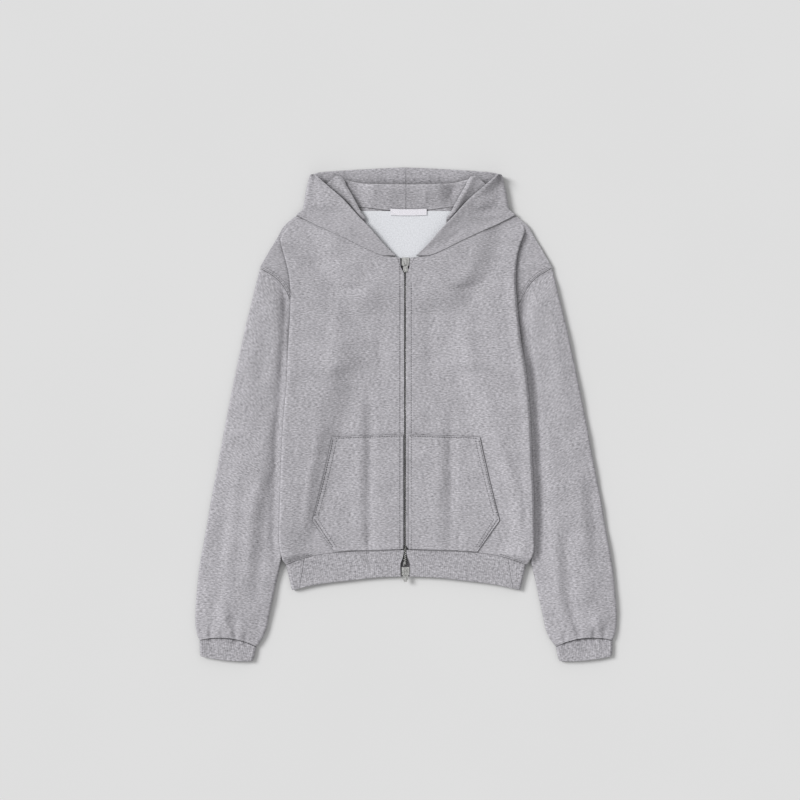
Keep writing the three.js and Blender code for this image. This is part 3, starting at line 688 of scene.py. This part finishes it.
def front_row(side, y):
    """One cross-section as (x, z, angle of the normal), from the zip over the fold to the side seam."""
    fold, turn, valley, folded, inward = pleat(side, y)
    start = neck_x(y) if y > NECK_START else zip_edge_x(y) - ZIP_OVERHANG + SIDES[side] * ZIP_X
    edge = edge_x(y)
    turn = max(turn, 0.05)
    opened = mix(min(fold, edge - 9), fold, folded)
    crest = mix(opened - 3, valley, folded)
    near = max(crest - CREST_RAMP, mix(start, crest, 0.35))
    first, second, third = FRONT_COLUMNS
    band = start + min(BAND_GRID, 0.5 * (near - start))
    xs = spread(start, band, BAND_COLUMNS, False) + spread(band, near, first - BAND_COLUMNS, False)
    xs += spread(near, crest, second, False) + spread(crest, opened, third, False)
    row = [(x, front_flat(side, x, y), 0.0) for x in xs]
    z1 = front_flat(side, opened, y)
    for a in spread(0, turn, FRONT_ARC):
        row.append((opened + FOLD_R * math.sin(a), z1 - FOLD_R * (1 - math.cos(a)), a))
    x, z, _ = row[-1]
    for t in spread(0, 1, RETURN_COLUMNS)[1:-1]:
        row.append((x + inward * t * math.cos(turn), z - inward * t * math.sin(turn), turn))
    x2, z2 = x + inward * math.cos(turn), z - inward * math.sin(turn)
    r2 = mix(FOLD_R, (z2 - THIRD_MID) / 2, folded)
    for a in spread(turn, 0, FRONT_ARC):
        row.append((x2 + r2 * (math.sin(turn) - math.sin(a)), z2 - r2 * (math.cos(a) - math.cos(turn)), a))
    x, z, _ = row[-1]
    for t in spread(0, 1, HIDDEN_COLUMNS)[1:]:
        row.append((mix(x, edge, t), mix(z, THIRD_MID, t), 0.0))
    return row


# A front's rows start here, and are closer together above the second line
FRONT_TOP, RIM_FOOT = 318.5, RIM[0][0]
# Below this line the rows bend towards the hem seam. Cloth and rib each end a gap short of it.
HEM_BASE = -200
HEM_GAP = 0.12
HEM_ROWS = 15
# The stitched line beside the zip follows a part of the zip's offset, in a shallow groove
BAND = 9.4
BAND_SHIFT = 0.4 * ZIP_X
GROOVE = 0.45
# A tube's upper cloth can sink only this far before it meets the lower one
DEEPEST = -3.1
# The pleat's fold stands a little proud along its edge
CROWN = {"right": 0.7, "left": 2.2}


def front_relief(side, x, y, angle):
    """Relief of a front's open layer. Over the pleat the troughs are kept shallow."""
    raised = relief(BODY_FOLDS, x, y)
    depth_left = per_point(lambda a, b: smooth((pleat(side, b)[2] + 4 - abs(a)) / 20), x, y)
    raised = np.where(raised < 0, raised * (0.12 + 0.88 * depth_left), raised)
    raised -= GROOVE * np.exp(-((np.abs(x - SIDES[side] * BAND_SHIFT) - BAND) ** 2))
    to_fold = per_point(lambda a, b: fold_x[side](b) - abs(a), x, y)
    raised = np.maximum(raised, DEEPEST)
    ends = ease_array(y, -225, -165) * ease_array(y, 262, 202)
    raised += CROWN[side] * smooth_array(1.4 - to_fold / 14) * ease_array(to_fold, -1, 4) * ends
    return raised * np.where(np.cos(angle) > 0.5, 1.0, 0.0)


def front_grid(side):
    """Middle points and normals of a front, in rows from the shoulder to the hem seam."""
    s = SIDES[side]
    levels = spread(FRONT_TOP, RIM_FOOT, 26, False) + spread(RIM_FOOT, HEM_BASE, 151, False)
    rows = [[(q, y) for q in front_row(side, y)] for y in levels]
    for t in spread(0, 1, HEM_ROWS):
        cut = front_row(side, mix(HEM_BASE, SIDE_FOOT, t))
        rows.append([(q, mix(HEM_BASE, hem_y(q[0]) + HEM_GAP, t)) for q in cut])
    p = np.array([[(s * q[0], y, q[1] + bag_lift(q[0], y)) for q, y in row] for row in rows])
    angle = np.array([[q[2] for q, y in row] for row in rows])
    n = np.stack([s * np.sin(angle), np.zeros_like(angle), np.cos(angle)], axis=-1)
    open_columns = sum(FRONT_COLUMNS) + 1
    raised = front_relief(side, p[..., 0], p[..., 1], angle)
    p[:, :open_columns, 2] += raised[:, :open_columns]
    return p, n


def back_relief(x, y):
    """Folds of the flat back are ridges only, so that nothing sinks into the surface below."""
    low = ease_array(y, 150, 110)
    return np.maximum(0, relief(BACK_FOLDS, x, y, 0.0)) * low


# Above this line the back's rows bend towards its neck
BACK_TOP = 302
BACK_HALF_COLUMNS = 60


def back_grid():
    lines = []
    for t in spread(1, 0, 8, False):
        lines.append((mix(BACK_TOP, NECK[-1][0], t), t, back_neck_y, -HEM_GAP, BACK_TOP))
    for y in spread(BACK_TOP, HEM_BASE, 167, False):
        lines.append((y, 0, hem_y, HEM_GAP, y))
    for t in spread(0, 1, HEM_ROWS):
        lines.append((mix(HEM_BASE, SIDE_FOOT, t), t, hem_y, HEM_GAP, HEM_BASE))
    grid = []
    for y, t, target, gap, base in lines:
        edge = edge_x(y)
        row = []
        for k in range(-BACK_HALF_COLUMNS, BACK_HALF_COLUMNS + 1):
            x = edge * k / BACK_HALF_COLUMNS
            at = mix(base, target(abs(x)) + gap, t) if t else y
            row.append((x, at, BACK_MID + bag_lift(abs(x), at)))
        grid.append(row)
    p = np.array(grid)
    p[..., 2] += back_relief(p[..., 0], p[..., 1])
    return p, upward(p)


PILE_FROM, PILE_TO = 250.5, 326
PILE_PAST_RIM = 8
PILE_HALF, PILE_CLEARANCE = 0.5, 0.05


def pile_grid():
    """The brushed white inside of the back, where it shows in the neck opening."""
    rows = []
    for row_y in spread(PILE_FROM, PILE_TO, 30):
        row = []
        for across in spread(-1, 1, 60):
            x = (rim_x(row_y) + PILE_PAST_RIM) * across
            y = min(row_y, back_neck_y(abs(x)) - 0.9)
            row.append((x, y, BACK_MID + FLEECE / 2 + PILE_HALF + PILE_CLEARANCE + bag_lift(abs(x), y)))
        rows.append(row)
    p = np.array(rows)
    return p, upward(p)


# Sleeves and cuffs
def ring(row, s, bottom_of, top_of, thickness, steps, arc):
    """(point, normal) pairs round a tube: along the lower layer from the outer edge to the inner one,
    then back along the upper layer."""
    out_x, out_y, in_x, in_y, bulge = row
    w = math.hypot(in_x - out_x, in_y - out_y)
    u = ((in_x - out_x) / w, (in_y - out_y) / w)

    def plan(d):
        b = 4 * bulge * (d / w) * (1 - d / w)
        return out_x + u[0] * d + u[1] * b, out_y + u[1] * d - u[0] * b

    def level(d):
        x, y = plan(d)
        return bottom_of(x, y) + thickness / 2, top_of(x, y) - thickness / 2

    out_low, out_high = level(0)
    in_low, in_high = level(w)
    out_r, in_r = (out_high - out_low) / 2, (in_high - in_low) / 2
    start, stop = out_r + thickness / 2, w - in_r - thickness / 2
    points = []

    def put(d, z, across, up):
        x, y = plan(d)
        points.append(((s * x, y, z), (s * u[0] * across, u[1] * across, up)))

    for d in spread(start, stop, steps, False):
        put(d, level(d)[0], 0, -1)
    middle = (in_low + in_high) / 2
    for a in spread(0, math.pi, arc):
        put(stop + in_r * math.sin(a), middle - in_r * math.cos(a), math.sin(a), -math.cos(a))
    for d in spread(stop, start, steps, False)[1:]:
        put(d, level(d)[1], 0, 1)
    middle = (out_low + out_high) / 2
    for a in spread(0, math.pi, arc, False):
        put(start - out_r * math.sin(a), middle + out_r * math.cos(a), -math.sin(a), math.cos(a))
    return points


def between(table, count):
    """Rows worked out evenly between a table's rows."""
    columns = [curve([(i, row[k]) for i, row in enumerate(table)]) for k in range(5)]
    return [tuple(c(t) for c in columns) for t in spread(0, len(table) - 1, count)]


# The sleeve sinks beside the body's fold, at a distance from it
CREVICE_AT, CREVICE_WIDTH, CREVICE_DEPTH = 6.5, 8.0, 3.6


def sleeve_relief(side, x, y):
    beside = per_point(lambda a, b: abs(a) - fold_x[side](b), x, y)
    cover = ease_array(beside, 1, 10)
    raised = relief(SLEEVE_FOLDS, x, y) * cover
    along = ease_array(y, -235, -185) * ease_array(y, 262, 222)
    raised -= CREVICE_DEPTH * np.exp(-(((beside - CREVICE_AT) / CREVICE_WIDTH) ** 2)) * along * cover
    return np.maximum(raised, DEEPEST)


SLEEVE_ROWS, SLEEVE_STEPS, SLEEVE_ARC = 200, 44, 10
SLEEVE_DOME = 4.6
# The first rows follow the armhole's bow. In the last ones the tucks fade to this share at the cuff.
BOW_ROWS = 14
TUCK_ROWS = 10
CUFF_TUCK = 0.4
# The lower layer rises under the upper one's troughs, seen a little shifted, and only this far
UNDER_SHIFT = (9, -14)
UNDER_RISE = 1.3


def sleeve_grid(side):
    s = SIDES[side]
    rings = [ring(row, s, sleeve_bottom, partial(sleeve_top, side), FLEECE, SLEEVE_STEPS, SLEEVE_ARC)
             for row in between(SLEEVE, SLEEVE_ROWS)]
    p, n = np.moveaxis(np.array(rings), 2, 0)
    number = np.arange(len(rings))[:, None]
    start = smooth_array(number / 8)
    fade = 1 - smooth_array(number / BOW_ROWS)
    bow = np.array([armhole_bow((abs(x) - ARMPIT[0]) / (SHOULDER[0] - ARMPIT[0])) for x in p[0, :, 0]])
    p[..., 0] += s * TO_BODY[0] * (fade * bow)
    p[..., 1] += TO_BODY[1] * (fade * bow)
    end = 1 - (1 - CUFF_TUCK) * smooth_array((number - SLEEVE_ROWS + TUCK_ROWS) / TUCK_ROWS)
    p[..., 2] += sleeve_relief(side, p[..., 0], p[..., 1]) * smooth_array(n[..., 2] * 1.4) * start * end
    over = np.zeros(p.shape[1])
    first_top = SLEEVE_STEPS + SLEEVE_ARC + 1
    over[first_top:first_top + SLEEVE_STEPS - 1] = np.sin(np.linspace(0, math.pi, SLEEVE_STEPS + 1))[1:-1]
    clear = smooth_array((np.abs(p[..., 0]) - np.vectorize(fold_x[side])(p[..., 1]) - 4) / 30)
    p[..., 2] += SLEEVE_DOME * over[None, :] * clear * start
    under = relief(SLEEVE_FOLDS, p[..., 0] + UNDER_SHIFT[0], p[..., 1] + UNDER_SHIFT[1], 0.0)
    p[..., 2] += np.clip(-0.5 * under, 0, UNDER_RISE) * smooth_array(-n[..., 2] * 1.4) * start
    return p, n


RIDGE = 0.34
COLUMNS_PER_RIDGE = 6
CUFF_BOTTOM, CUFF_TOP = 0.2, SLEEVE_TOP - 0.2


def ridged(p, half):
    """Half thickness of a rib knit, with a ridge every few columns."""
    phase = np.arange(p.shape[1]) * 2 * math.pi / COLUMNS_PER_RIDGE
    return half - RIDGE / 2 + RIDGE / 2 * np.cos(phase)[None, :] * np.ones((p.shape[0], 1))


def cuff_grid(side):
    s = SIDES[side]
    rings = [ring(row, s, lambda x, y: CUFF_BOTTOM, lambda x, y: CUFF_TOP, RIB_WALL, 168, 12)
             for row in between(CUFF, 16)]
    p, n = np.moveaxis(np.array(rings), 2, 0)
    pinch = 0.5 * np.sin(p[..., 0] / 5.3 + 0.7) * np.linspace(1, 0.2, len(rings))[:, None]
    away = (1 - smooth_array(np.arange(len(rings)) / 7))[:, None]
    tucks = CUFF_TUCK * np.maximum(relief(SLEEVE_FOLDS, p[..., 0], p[..., 1]), DEEPEST) * away
    p[..., 2] += (pinch + tucks) * smooth_array(n[..., 2] * 1.4)
    return p, n


# Hem rib. Each pair is an x at the hem seam and at the rib's end.
RIB_SEAM_X = (163, 171)
RIB_SIDE_X = (193, 183)
RIB_HIGHEST = 9.3
RIB_ROWS = 14


def rib_front_mid(x, t):
    """Height of the rib's front layer, from the hem seam at t = 0 to its end at t = 1."""
    return mix(min(RIB_HIGHEST, front_flat("right", x, SIDE_FOOT)), CENTRE_MID, t)


def rib_y(x, t):
    return mix(hem_y(x) - HEM_GAP, rib_end_y(x), t)


def hem_relief(x, t):
    """The body's folds run on a little into the rib."""
    y = np.full_like(x, HEM_BASE - 5.0)
    return relief(BODY_FOLDS, x, y, 0.4) * 0.5 * (1 - t)


def hem_front_grid(side):
    s = SIDES[side]
    grid = []
    for t in spread(0, 1, RIB_ROWS):
        x0 = zip_edge_x(mix(-216, -262, t)) + s * ZIP_X
        xs = spread(x0, mix(*RIB_SEAM_X, t) - SEAM, 318)
        z = np.array([rib_front_mid(x, t) for x in xs]) + hem_relief(np.array(xs) * s, t)
        grid.append([(s * x, rib_y(x, t), zz) for x, zz in zip(xs, z)])
    p = np.array(grid)
    return p, upward(p)


def hem_back_grid():
    low = RIB_WALL / 2 + 0.1
    grid, normals = [], []
    for t in spread(0, 1, RIB_ROWS):
        high = rib_front_mid(RIB_SEAM_X[0], t)
        r = (high - low) / 2
        centre = mix(*RIB_SIDE_X, t) - r - RIB_WALL / 2 - 0.2
        path = [(x, high, 0.0) for x in spread(mix(*RIB_SEAM_X, t), centre, 30, False)]
        path += [(centre + r * math.sin(a), (high + low) / 2 + r * math.cos(a), a)
                 for a in spread(0, math.pi, 24)]
        path += [(x, low, math.pi) for x in spread(centre, 0, 350, False)[1:]]
        row = [(-x, z, -a) for x, z, a in path] + [(0, low, math.pi)] + list(reversed(path))
        grid.append([(x, rib_y(abs(x), t), z) for x, z, a in row])
        normals.append([(math.sin(a), 0, math.cos(a)) for x, z, a in row])
    return np.array(grid), np.array(normals)


# Pockets. Their rows lie between two levels, at which the side edge is looked up.
POCKET_INNER = 4.2
POCKET_LEVELS = (-35, -219)
POCKET_HALF = 1.0
POCKET_LIFT = 2.5
STITCH_INSET = 2.2
POCKET_GROOVE = 0.4


def pocket_top(x):
    return -31 - 0.035 * x


def pocket_grid(side):
    s = SIDES[side]
    grid = []
    for t in spread(0, 0.04, 7, False) + spread(0.04, 1, 90):
        row = []
        side_edge = pocket_x(mix(*POCKET_LEVELS, t))
        for x in spread(POCKET_INNER, side_edge - 12, 46, False) + spread(side_edge - 12, side_edge, 15):
            y = mix(pocket_top(x), hem_y(x) + 1.5, t)
            row.append((s * x, y, front_mid(side, x, y) + POCKET_LIFT))
        grid.append(row)
    p = np.array(grid)
    p[..., 2] += front_relief(side, p[..., 0], p[..., 1], np.zeros(p.shape[:2]))
    from_edge = per_point(lambda a, b: pocket_x(b) - abs(a), p[..., 0], p[..., 1])
    from_top = pocket_top(np.abs(p[..., 0])) - p[..., 1]
    for distance in (from_edge, from_top):
        p[..., 2] -= POCKET_GROOVE * np.exp(-((distance - STITCH_INSET) ** 2))
    return p, upward(p)


# The hood: its folded bag, its far layer, its front with the side fold, and the turned wing. The neck
# wall tilts up towards the roll by this much.
NECK_WALL_TILT = 10
# Heights of the middles: the bag's lowest layer, the far layer, the side fold, the rim and the wing
BAG_FLOOR = 2
FAR_MID = 1.85
SIDE_FOLD_TOP = 9
RIM_TOP = 18.2
WING_HIGH, WING_LOW, WING_LOWEST = 13.9, 13.2, 11.15
# Half thicknesses, and the radius of the bag's turns
FAR_HALF = 1.6
HOOD_FRONT_HALF = 1.75
WING_HALF = 1.1
BAG_TURN_R = 2.2
# The bag's half width, and the level at which the neck seam meets the body's outline
BAG_HALF = 112
TIP_Y = NECK[-1][0]


def bag_grid(s):
    """The folded bag, from the hood's top down under the back, up to the roll and down the neck wall."""
    r = BAG_TURN_R
    low, middle, high = BAG_FLOOR, BAG_FLOOR + 2 * r, BAG_FLOOR + 4 * r
    columns, normals = [], []
    for x in spread(SEAM / 2, BAG_HALF, 46):
        end = bag_end_y(x) + r + 2
        roll = roll_y(x) - r - 2
        path = [(y, low, 0.0, -1.0) for y in spread(hood_top_y(x), end, 60, False)]
        path += [(end - r * math.sin(a), low + r * (1 - math.cos(a)), -math.sin(a), -math.cos(a))
                 for a in spread(0, math.pi, 10)]
        path += [(y, middle, 0.0, 1.0) for y in spread(end, roll, 40)[1:-1]]
        path += [(roll + r * math.sin(a), middle + r * (1 - math.cos(a)), -math.sin(a), math.cos(a))
                 for a in spread(0, math.pi, 12)]
        path += [(y, high, 0.0, -1.0) for y in spread(roll, back_neck_y(x) + 0.3, 18)[1:]]
        columns.append([(s * x, y, z) for y, z, ny, nz in path])
        normals.append([(0, ny, nz) for y, z, ny, nz in path])
    p, n = np.array(columns), np.array(normals)
    top = np.abs(p[..., 2] - high) < 2.3
    raised = relief(HOOD_FOLDS, p[..., 0], p[..., 1], 0.6)
    weight = np.where(top, smooth_array((p[..., 2] - middle) / (high - middle)), 0)
    corner = 1 - smooth_array((np.abs(p[..., 0]) - 50) / 26)
    p[..., 2] += (raised + NECK_WALL_TILT * ease_array(p[..., 1], 328, 366) * corner) * weight
    return np.swapaxes(p, 0, 1), np.swapaxes(n, 0, 1)


def far_grid(s):
    rows = [[(s * x, mix(337, hood_top_y(x) - 0.2, t), FAR_MID) for x in spread(104, 150, 18)]
            for t in spread(0, 1, 20)]
    p = np.array(rows)
    return p, upward(p)


def hood_front_mid(side, x, y):
    """Height of the hood's front: high along its rim, and down on the front at its outer edge."""
    outer = neck_x(y) if y < TIP_Y else hood_side_x(y) - 8
    rim = rim_x(y)
    if y < TIP_Y:
        lifted = front_mid(side, outer, y)
    else:
        lifted = mix(front_mid(side, 172, TIP_Y), SIDE_FOLD_TOP, ease(y, TIP_Y, TIP_Y + 18))
    low = lifted + 1 + 1.4 * ease(y, 291, 301) * ease(y, TIP_Y + 8, TIP_Y)
    high = mix(front_mid(side, 20, 252), RIM_TOP, ease(y, 256, 296))
    return mix(high, low, smooth((x - rim - 4) / max(1, outer - rim - 6)))


# How far the cloth stands up along the rim and along the wing's inner edge
RIM_LIP = 2.6
WING_LIP = 5.0


def hood_front_grid(side):
    s = SIDES[side]
    grid, normals = [], []
    for y in spread(254, 384, 65):
        wrapped = ease(y, 322, 334)
        turn = mix(neck_x(min(y, TIP_Y)) - SEAM - 0.4, hood_side_x(y) - 6, ease(y, TIP_Y - 4, TIP_Y + 10))
        rim = rim_x(y)
        lip = RIM_LIP * ease(y, 256, 280)
        path = [(x, hood_front_mid(side, x, y) + lip * math.exp(-((x - rim) / 11) ** 2), 0.0)
                for x in spread(rim, turn, 36, False)]
        high = hood_front_mid(side, turn, y)
        low = mix(high - 0.8, 2, wrapped)
        rx, rz = mix(0.4, 4, wrapped), (high - low) / 2
        path += [(turn + rx * math.sin(a), (high + low) / 2 + rz * math.cos(a), a)
                 for a in spread(0, math.pi, 12)]
        path += [(turn - t, low, math.pi) for t in spread(0, mix(1, 12, wrapped), 6)[1:]]
        grid.append([(s * x, y + 0.2, z) for x, z, a in path])
        normals.append([(s * math.sin(a), 0, math.cos(a)) for x, z, a in path])
    p, n = np.array(grid), np.array(normals)
    rim_fade = smooth_array(np.arange(p.shape[1]) / 6)[None, :]
    p[..., 2] += relief(HOOD_FOLDS, p[..., 0], p[..., 1], 0.8) * smooth_array(n[..., 2]) * rim_fade
    return p, n


wing_inner = column(WING, 0, 1)
wing_outer = column(WING, 0, 2)


def wing_grid(s):
    grid = []
    for y in spread(299, 381, 40):
        inner = mix(rim_x(y) + 5, wing_inner(y), ease(y, 301, 317))
        outer = max(inner + 5, wing_outer(y))
        low = mix(WING_LOW, WING_LOWEST, ease(y, 344, 356))
        row = []
        for t in spread(0, 1, 20):
            x = mix(inner - 3, outer, t)
            rise = smooth((x - inner + 3) / 7)
            lip = WING_LIP * math.exp(-((x - inner) / 9) ** 2) * ease(y, 302, 320)
            row.append((s * x, y, mix(low, WING_HIGH, rise) + lip))
        grid.append(row)
    p = np.array(grid)
    return p, upward(p)


# Sewing: rows of short stitches as one mesh. Each stitch is a six sided rod with its ends sunk in.
STITCH = 3.0
STITCH_GAP = 0.9
STITCH_R = 0.34
STITCH_SIDES = 6
# Rings of a stitch, as (share of its length, share of its radius, how far it is sunk)
STITCH_RINGS = ((0, 0.35, 0.25), (0.25, 1, 0), (0.75, 1, 0), (1, 0.35, 0.25))


def stitch_row(points):
    """Stitches along a line of (x, y, z) points, as (start, end) pairs."""
    pts = np.array(points, float)
    steps = np.linalg.norm(np.diff(pts, axis=0), axis=1)
    run = np.concatenate([[0], np.cumsum(steps)])
    found = []
    at = 0.5
    while at + STITCH < run[-1]:
        ends = [np.array([np.interp(d, run, pts[:, k]) for k in range(3)]) for d in (at, at + STITCH)]
        found.append(ends)
        at += STITCH + STITCH_GAP
    return found


def stitch_quads():
    """Faces of one stitch: its sides between the rings and its two end caps."""
    n, last = STITCH_SIDES, STITCH_SIDES * (len(STITCH_RINGS) - 1)
    quads = []
    for r in range(0, last, n):
        quads += [(r + n + k, r + n + (k + 1) % n, r + (k + 1) % n, r + k) for k in range(n)]
    return quads + [(0, 1, 2, 3), (0, 3, 4, 5)] + [
        (last + 3, last + 2, last + 1, last), (last + 5, last + 4, last + 3, last)]


def stitch_arrays(pairs):
    verts, quads = [], []
    for a, b in pairs:
        along = (b - a) / np.linalg.norm(b - a)
        side = np.cross(along, [0, 0, 1.0])
        side /= max(1e-6, np.linalg.norm(side))
        up = np.cross(side, along)
        quads += [[len(verts) + corner for corner in quad] for quad in stitch_quads()]
        for t, size, sunk in STITCH_RINGS:
            centre = a + (b - a) * t - up * sunk
            for w in spread(0, 2 * math.pi, STITCH_SIDES, False):
                verts.append(centre + STITCH_R * size * (math.cos(w) * side + math.sin(w) * up))
    return np.array(verts), np.array(quads), np.zeros((len(quads), 4, 2))


def on_front(side, x, y, above):
    """A point on a front's outer face, at positive x."""
    s = SIDES[side]
    xs, ys = np.array([[s * x]], float), np.array([[y]], float)
    z = front_mid(side, x, y) + front_relief(side, xs, ys, np.zeros((1, 1)))[0, 0]
    return s * x, y, z + above


STITCH_LIFT = 0.12
FRONT_FACE = FLEECE / 2 + STITCH_LIFT
POCKET_FACE = POCKET_LIFT + POCKET_HALF + STITCH_LIFT
# How far each double row lies inside its edge
POCKET_ROWS = (STITCH_INSET, 8.0)
ARMHOLE_STITCHES = (STITCH_INSET, 5.4)


def stitch_lines(side):
    band = BAND + SIDES[side] * BAND_SHIFT
    flare = [(band + 3.1, 250), (band + 1.1, 243), (band, 236), (band, 200)]
    plans = [(FRONT_FACE, flare + [(band, y) for y in spread(196, -30, 80)]),
             (POCKET_FACE, [(band, y) for y in spread(-34, -213, 66)]),
             (POCKET_FACE, [(x, pocket_top(x) - STITCH_INSET) for x in spread(POCKET_INNER + 1, 116, 34)])]
    for gap in POCKET_ROWS:
        for ys in (spread(-40, -162, 50), spread(-166, -214, 24)):
            plans.append((POCKET_FACE, [(pocket_x(y) - gap, y) for y in ys]))
    plans.append((FRONT_FACE, [(x, hem_y(x) + 2.4) for x in spread(150, 190, 14)]))
    for gap in ARMHOLE_STITCHES:
        plans.append((FRONT_FACE, [armhole_point(t, gap) for t in spread(0.6, 0.985, 30)]))
    return [[on_front(side, x, y, above) for x, y in plan] for above, plan in plans]


# Zip teeth
TOOTH_PITCH = 3.0
TOOTH_SIZE = (3.5, 1.6, 1.5)
TOOTH_OVERLAP = 0.9
TEETH_FROM, TEETH_TO = -240, 236
TEETH_DROP = 1.8


def box_arrays(x0, x1, y0, y1, z0, z1):
    verts = np.array([(x, y, z) for x in (x0, x1) for y in (y0, y1) for z in (z0, z1)], float)
    quads = np.array([(0, 1, 3, 2), (4, 6, 7, 5), (0, 4, 5, 1), (2, 3, 7, 6), (0, 2, 6, 4), (1, 5, 7, 3)])
    return verts, quads, np.zeros((6, 4, 2))


def teeth(side):
    s = SIDES[side]
    parts = []
    long, wide, high = TOOTH_SIZE
    y = TEETH_FROM + (TOOTH_PITCH / 2 if s > 0 else 0)
    while y < TEETH_TO:
        z = CENTRE_MID - TEETH_DROP + bag_lift(0, y)
        tip = ZIP_X + 0.35 * math.sin(y / 37) + 0.2 * math.sin(y / 13) - s * TOOTH_OVERLAP
        x0, x1 = sorted((tip, tip + s * long))
        parts.append(box_arrays(x0, x1, y - wide / 2, y + wide / 2, z, z + high))
        y += TOOTH_PITCH
    return parts


def rib_wall(p, n, wrapped=False):
    return wall_arrays(p, n, ridged(p, RIB_WALL / 2), wrapped, (SEWN, OPEN))


def make_garment():
    """All the cloth, with its stitches and teeth. The order sets each piece's place in the weave."""
    made = {}

    def add(key, name, parts, material, slot="grey_jersey", node=None):
        made[key] = dress(name, parts, material, [node] if node else [])

    for side, s in SIDES.items():
        front = wall_arrays(*front_grid(side), FLEECE / 2, **ALL_SEWN)
        add("front_" + side, "cloth_front_" + side, [front], JERSEY, node="front_" + side)
        sleeve = wall_arrays(*sleeve_grid(side), FLEECE / 2, True, (SEWN, SEWN))
        add("sleeve_" + side, "cloth_sleeve_" + side, [sleeve], JERSEY, node="sleeve_" + side)
        cuff = rib_wall(*cuff_grid(side), True)
        add("cuff_" + side, "knit_cuff_" + side, [cuff], RIB, "grey_rib", "cuff_" + side)
        hem = rib_wall(*hem_front_grid(side))
        add("hem_" + side, "knit_hem_front_" + side, [hem], RIB, "grey_rib", "hem_rib_front_" + side)
        pocket = wall_arrays(*pocket_grid(side), POCKET_HALF)
        add("pocket_" + side, "cloth_pocket_" + side, [pocket], JERSEY, node="pocket_" + side)
        hood = [wall_arrays(*bag_grid(s), HOOD_WALL / 2, False, (OPEN, SEWN), (SEWN, OPEN)),
                wall_arrays(*far_grid(s), FAR_HALF), wall_arrays(*hood_front_grid(side), HOOD_FRONT_HALF),
                wall_arrays(*wing_grid(s), WING_HALF)]
        add("hood_" + side, "cloth_hood_" + side, hood, HOOD_JERSEY, node="hood_" + side)
        add("teeth_" + side, "zip_teeth_" + side, teeth(side), TOOTH, "nickel")
        pairs = [pair for line in stitch_lines(side) for pair in stitch_row(line)]
        add("stitches_" + side, "stitches_" + side, [stitch_arrays(pairs)], THREAD)
    back = wall_arrays(*back_grid(), FLEECE / 2, **ALL_SEWN)
    add("back", "cloth_back", [back], JERSEY, node="back")
    add("pile", "back_inner_pile", [wall_arrays(*pile_grid(), PILE_HALF)], PILE, "white_fleece")
    add("hem_back", "knit_hem_back", [rib_wall(*hem_back_grid())], RIB, "grey_rib", "hem_rib_back")
    return made


def paint_nodes():
    """The small CAD pieces that stay visible take their materials."""
    for name, material in (("zip_tape_right", TAPE), ("zip_tape_left", TAPE), ("neck_label", LABEL)):
        mesh = bpy.data.objects[name].data
        mesh.materials.clear()
        mesh.materials.append(material)


METAL_ROUND = 0.45


def polish(node, body):
    """The metal piece again with its edges rounded off."""
    piece = bpy.data.objects.new("polished_" + node, bpy.data.objects[node].data.copy())
    bpy.context.collection.objects.link(piece)
    round_off = piece.modifiers.new("round_off", "BEVEL")
    round_off.width, round_off.segments, round_off.limit_method = METAL_ROUND * MM, 3, "ANGLE"
    piece.data.polygons.foreach_set("use_smooth", [True] * len(piece.data.polygons))
    piece.data.materials.clear()
    piece.data.materials.append(NICKEL)
    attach(piece, body)
    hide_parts(node)


CAMERA_X, CAMERA_Y, CAMERA_HEIGHT = -9.6, 24.0, 3208
LENS, SENSOR = 90, 36
CAMERA_REACH = 50
# In metres: half the floor's width and how far the floor lies below the garment
FLOOR_HALF, FLOOR_DROP = 60.0, 0.0005
FLOOR_TONES = (0.745, 0.755)


def make_stage():
    corners = [(x * FLOOR_HALF, y * FLOOR_HALF, 0) for x, y in ((-1, -1), (1, -1), (1, 1), (-1, 1))]
    mesh = bpy.data.meshes.new("floor")
    mesh.from_pydata(corners, [], [(0, 1, 2, 3)])
    floor = bpy.data.objects.new("floor", mesh)
    bpy.context.collection.objects.link(floor)
    m = Nodes("floor", roughness=1.0, specular=0.0)
    low, high = (grey(tone, EVEN) for tone in FLOOR_TONES)
    m.finish(m.ramp(m.noise((3, 3, 3), uv=False), [(0.3, low), (0.7, high)]))
    mesh.materials.append(m.material)
    floor.location.z = -FLOOR_DROP

    camera_data = bpy.data.cameras.new("camera")
    camera_data.lens, camera_data.sensor_width = LENS, SENSOR
    camera_data.dof.use_dof = False
    camera_data.clip_end = CAMERA_REACH
    camera = bpy.data.objects.new("camera", camera_data)
    camera.location = Vector((CAMERA_X, CAMERA_Y + FRAME_SHIFT_Y, CAMERA_HEIGHT)) * MM
    bpy.context.collection.objects.link(camera)
    bpy.context.scene.camera = camera


# Degrees, then strengths, then metres
SUN_TURN, SUN_TILT, SUN_SOFTNESS = 155, 51, 24
SUN_POWER, SKY = 2.35, 0.51
SUN_DISTANCE = 3


def make_light():
    world = bpy.data.worlds.new("studio")
    world.use_nodes = True
    background = world.node_tree.nodes["Background"]
    background.inputs["Color"].default_value = (1, 1, 1, 1)
    background.inputs["Strength"].default_value = SKY
    bpy.context.scene.world = world
    data = bpy.data.lights.new("soft_window", "SUN")
    data.energy, data.angle = SUN_POWER, math.radians(SUN_SOFTNESS)
    lamp = bpy.data.objects.new("soft_window", data)
    turn, tilt = math.radians(SUN_TURN), math.radians(SUN_TILT)
    place = Vector((math.cos(turn) * math.sin(tilt), math.sin(turn) * math.sin(tilt), math.cos(tilt)))
    lamp.location = place * SUN_DISTANCE
    lamp.rotation_euler = (-place).to_track_quat("-Z", "Y").to_euler()
    bpy.context.collection.objects.link(lamp)
    bpy.context.scene.view_settings.view_transform = "Standard"


garment = make_garment()
paint_nodes()
for node, body in (("slider_top", "garment"), ("slider_bottom", "garment"),
                   ("pull_tab_top", "pull_top"), ("pull_tab_bottom", "pull_bottom")):
    polish(node, body)
make_stage()
make_light()
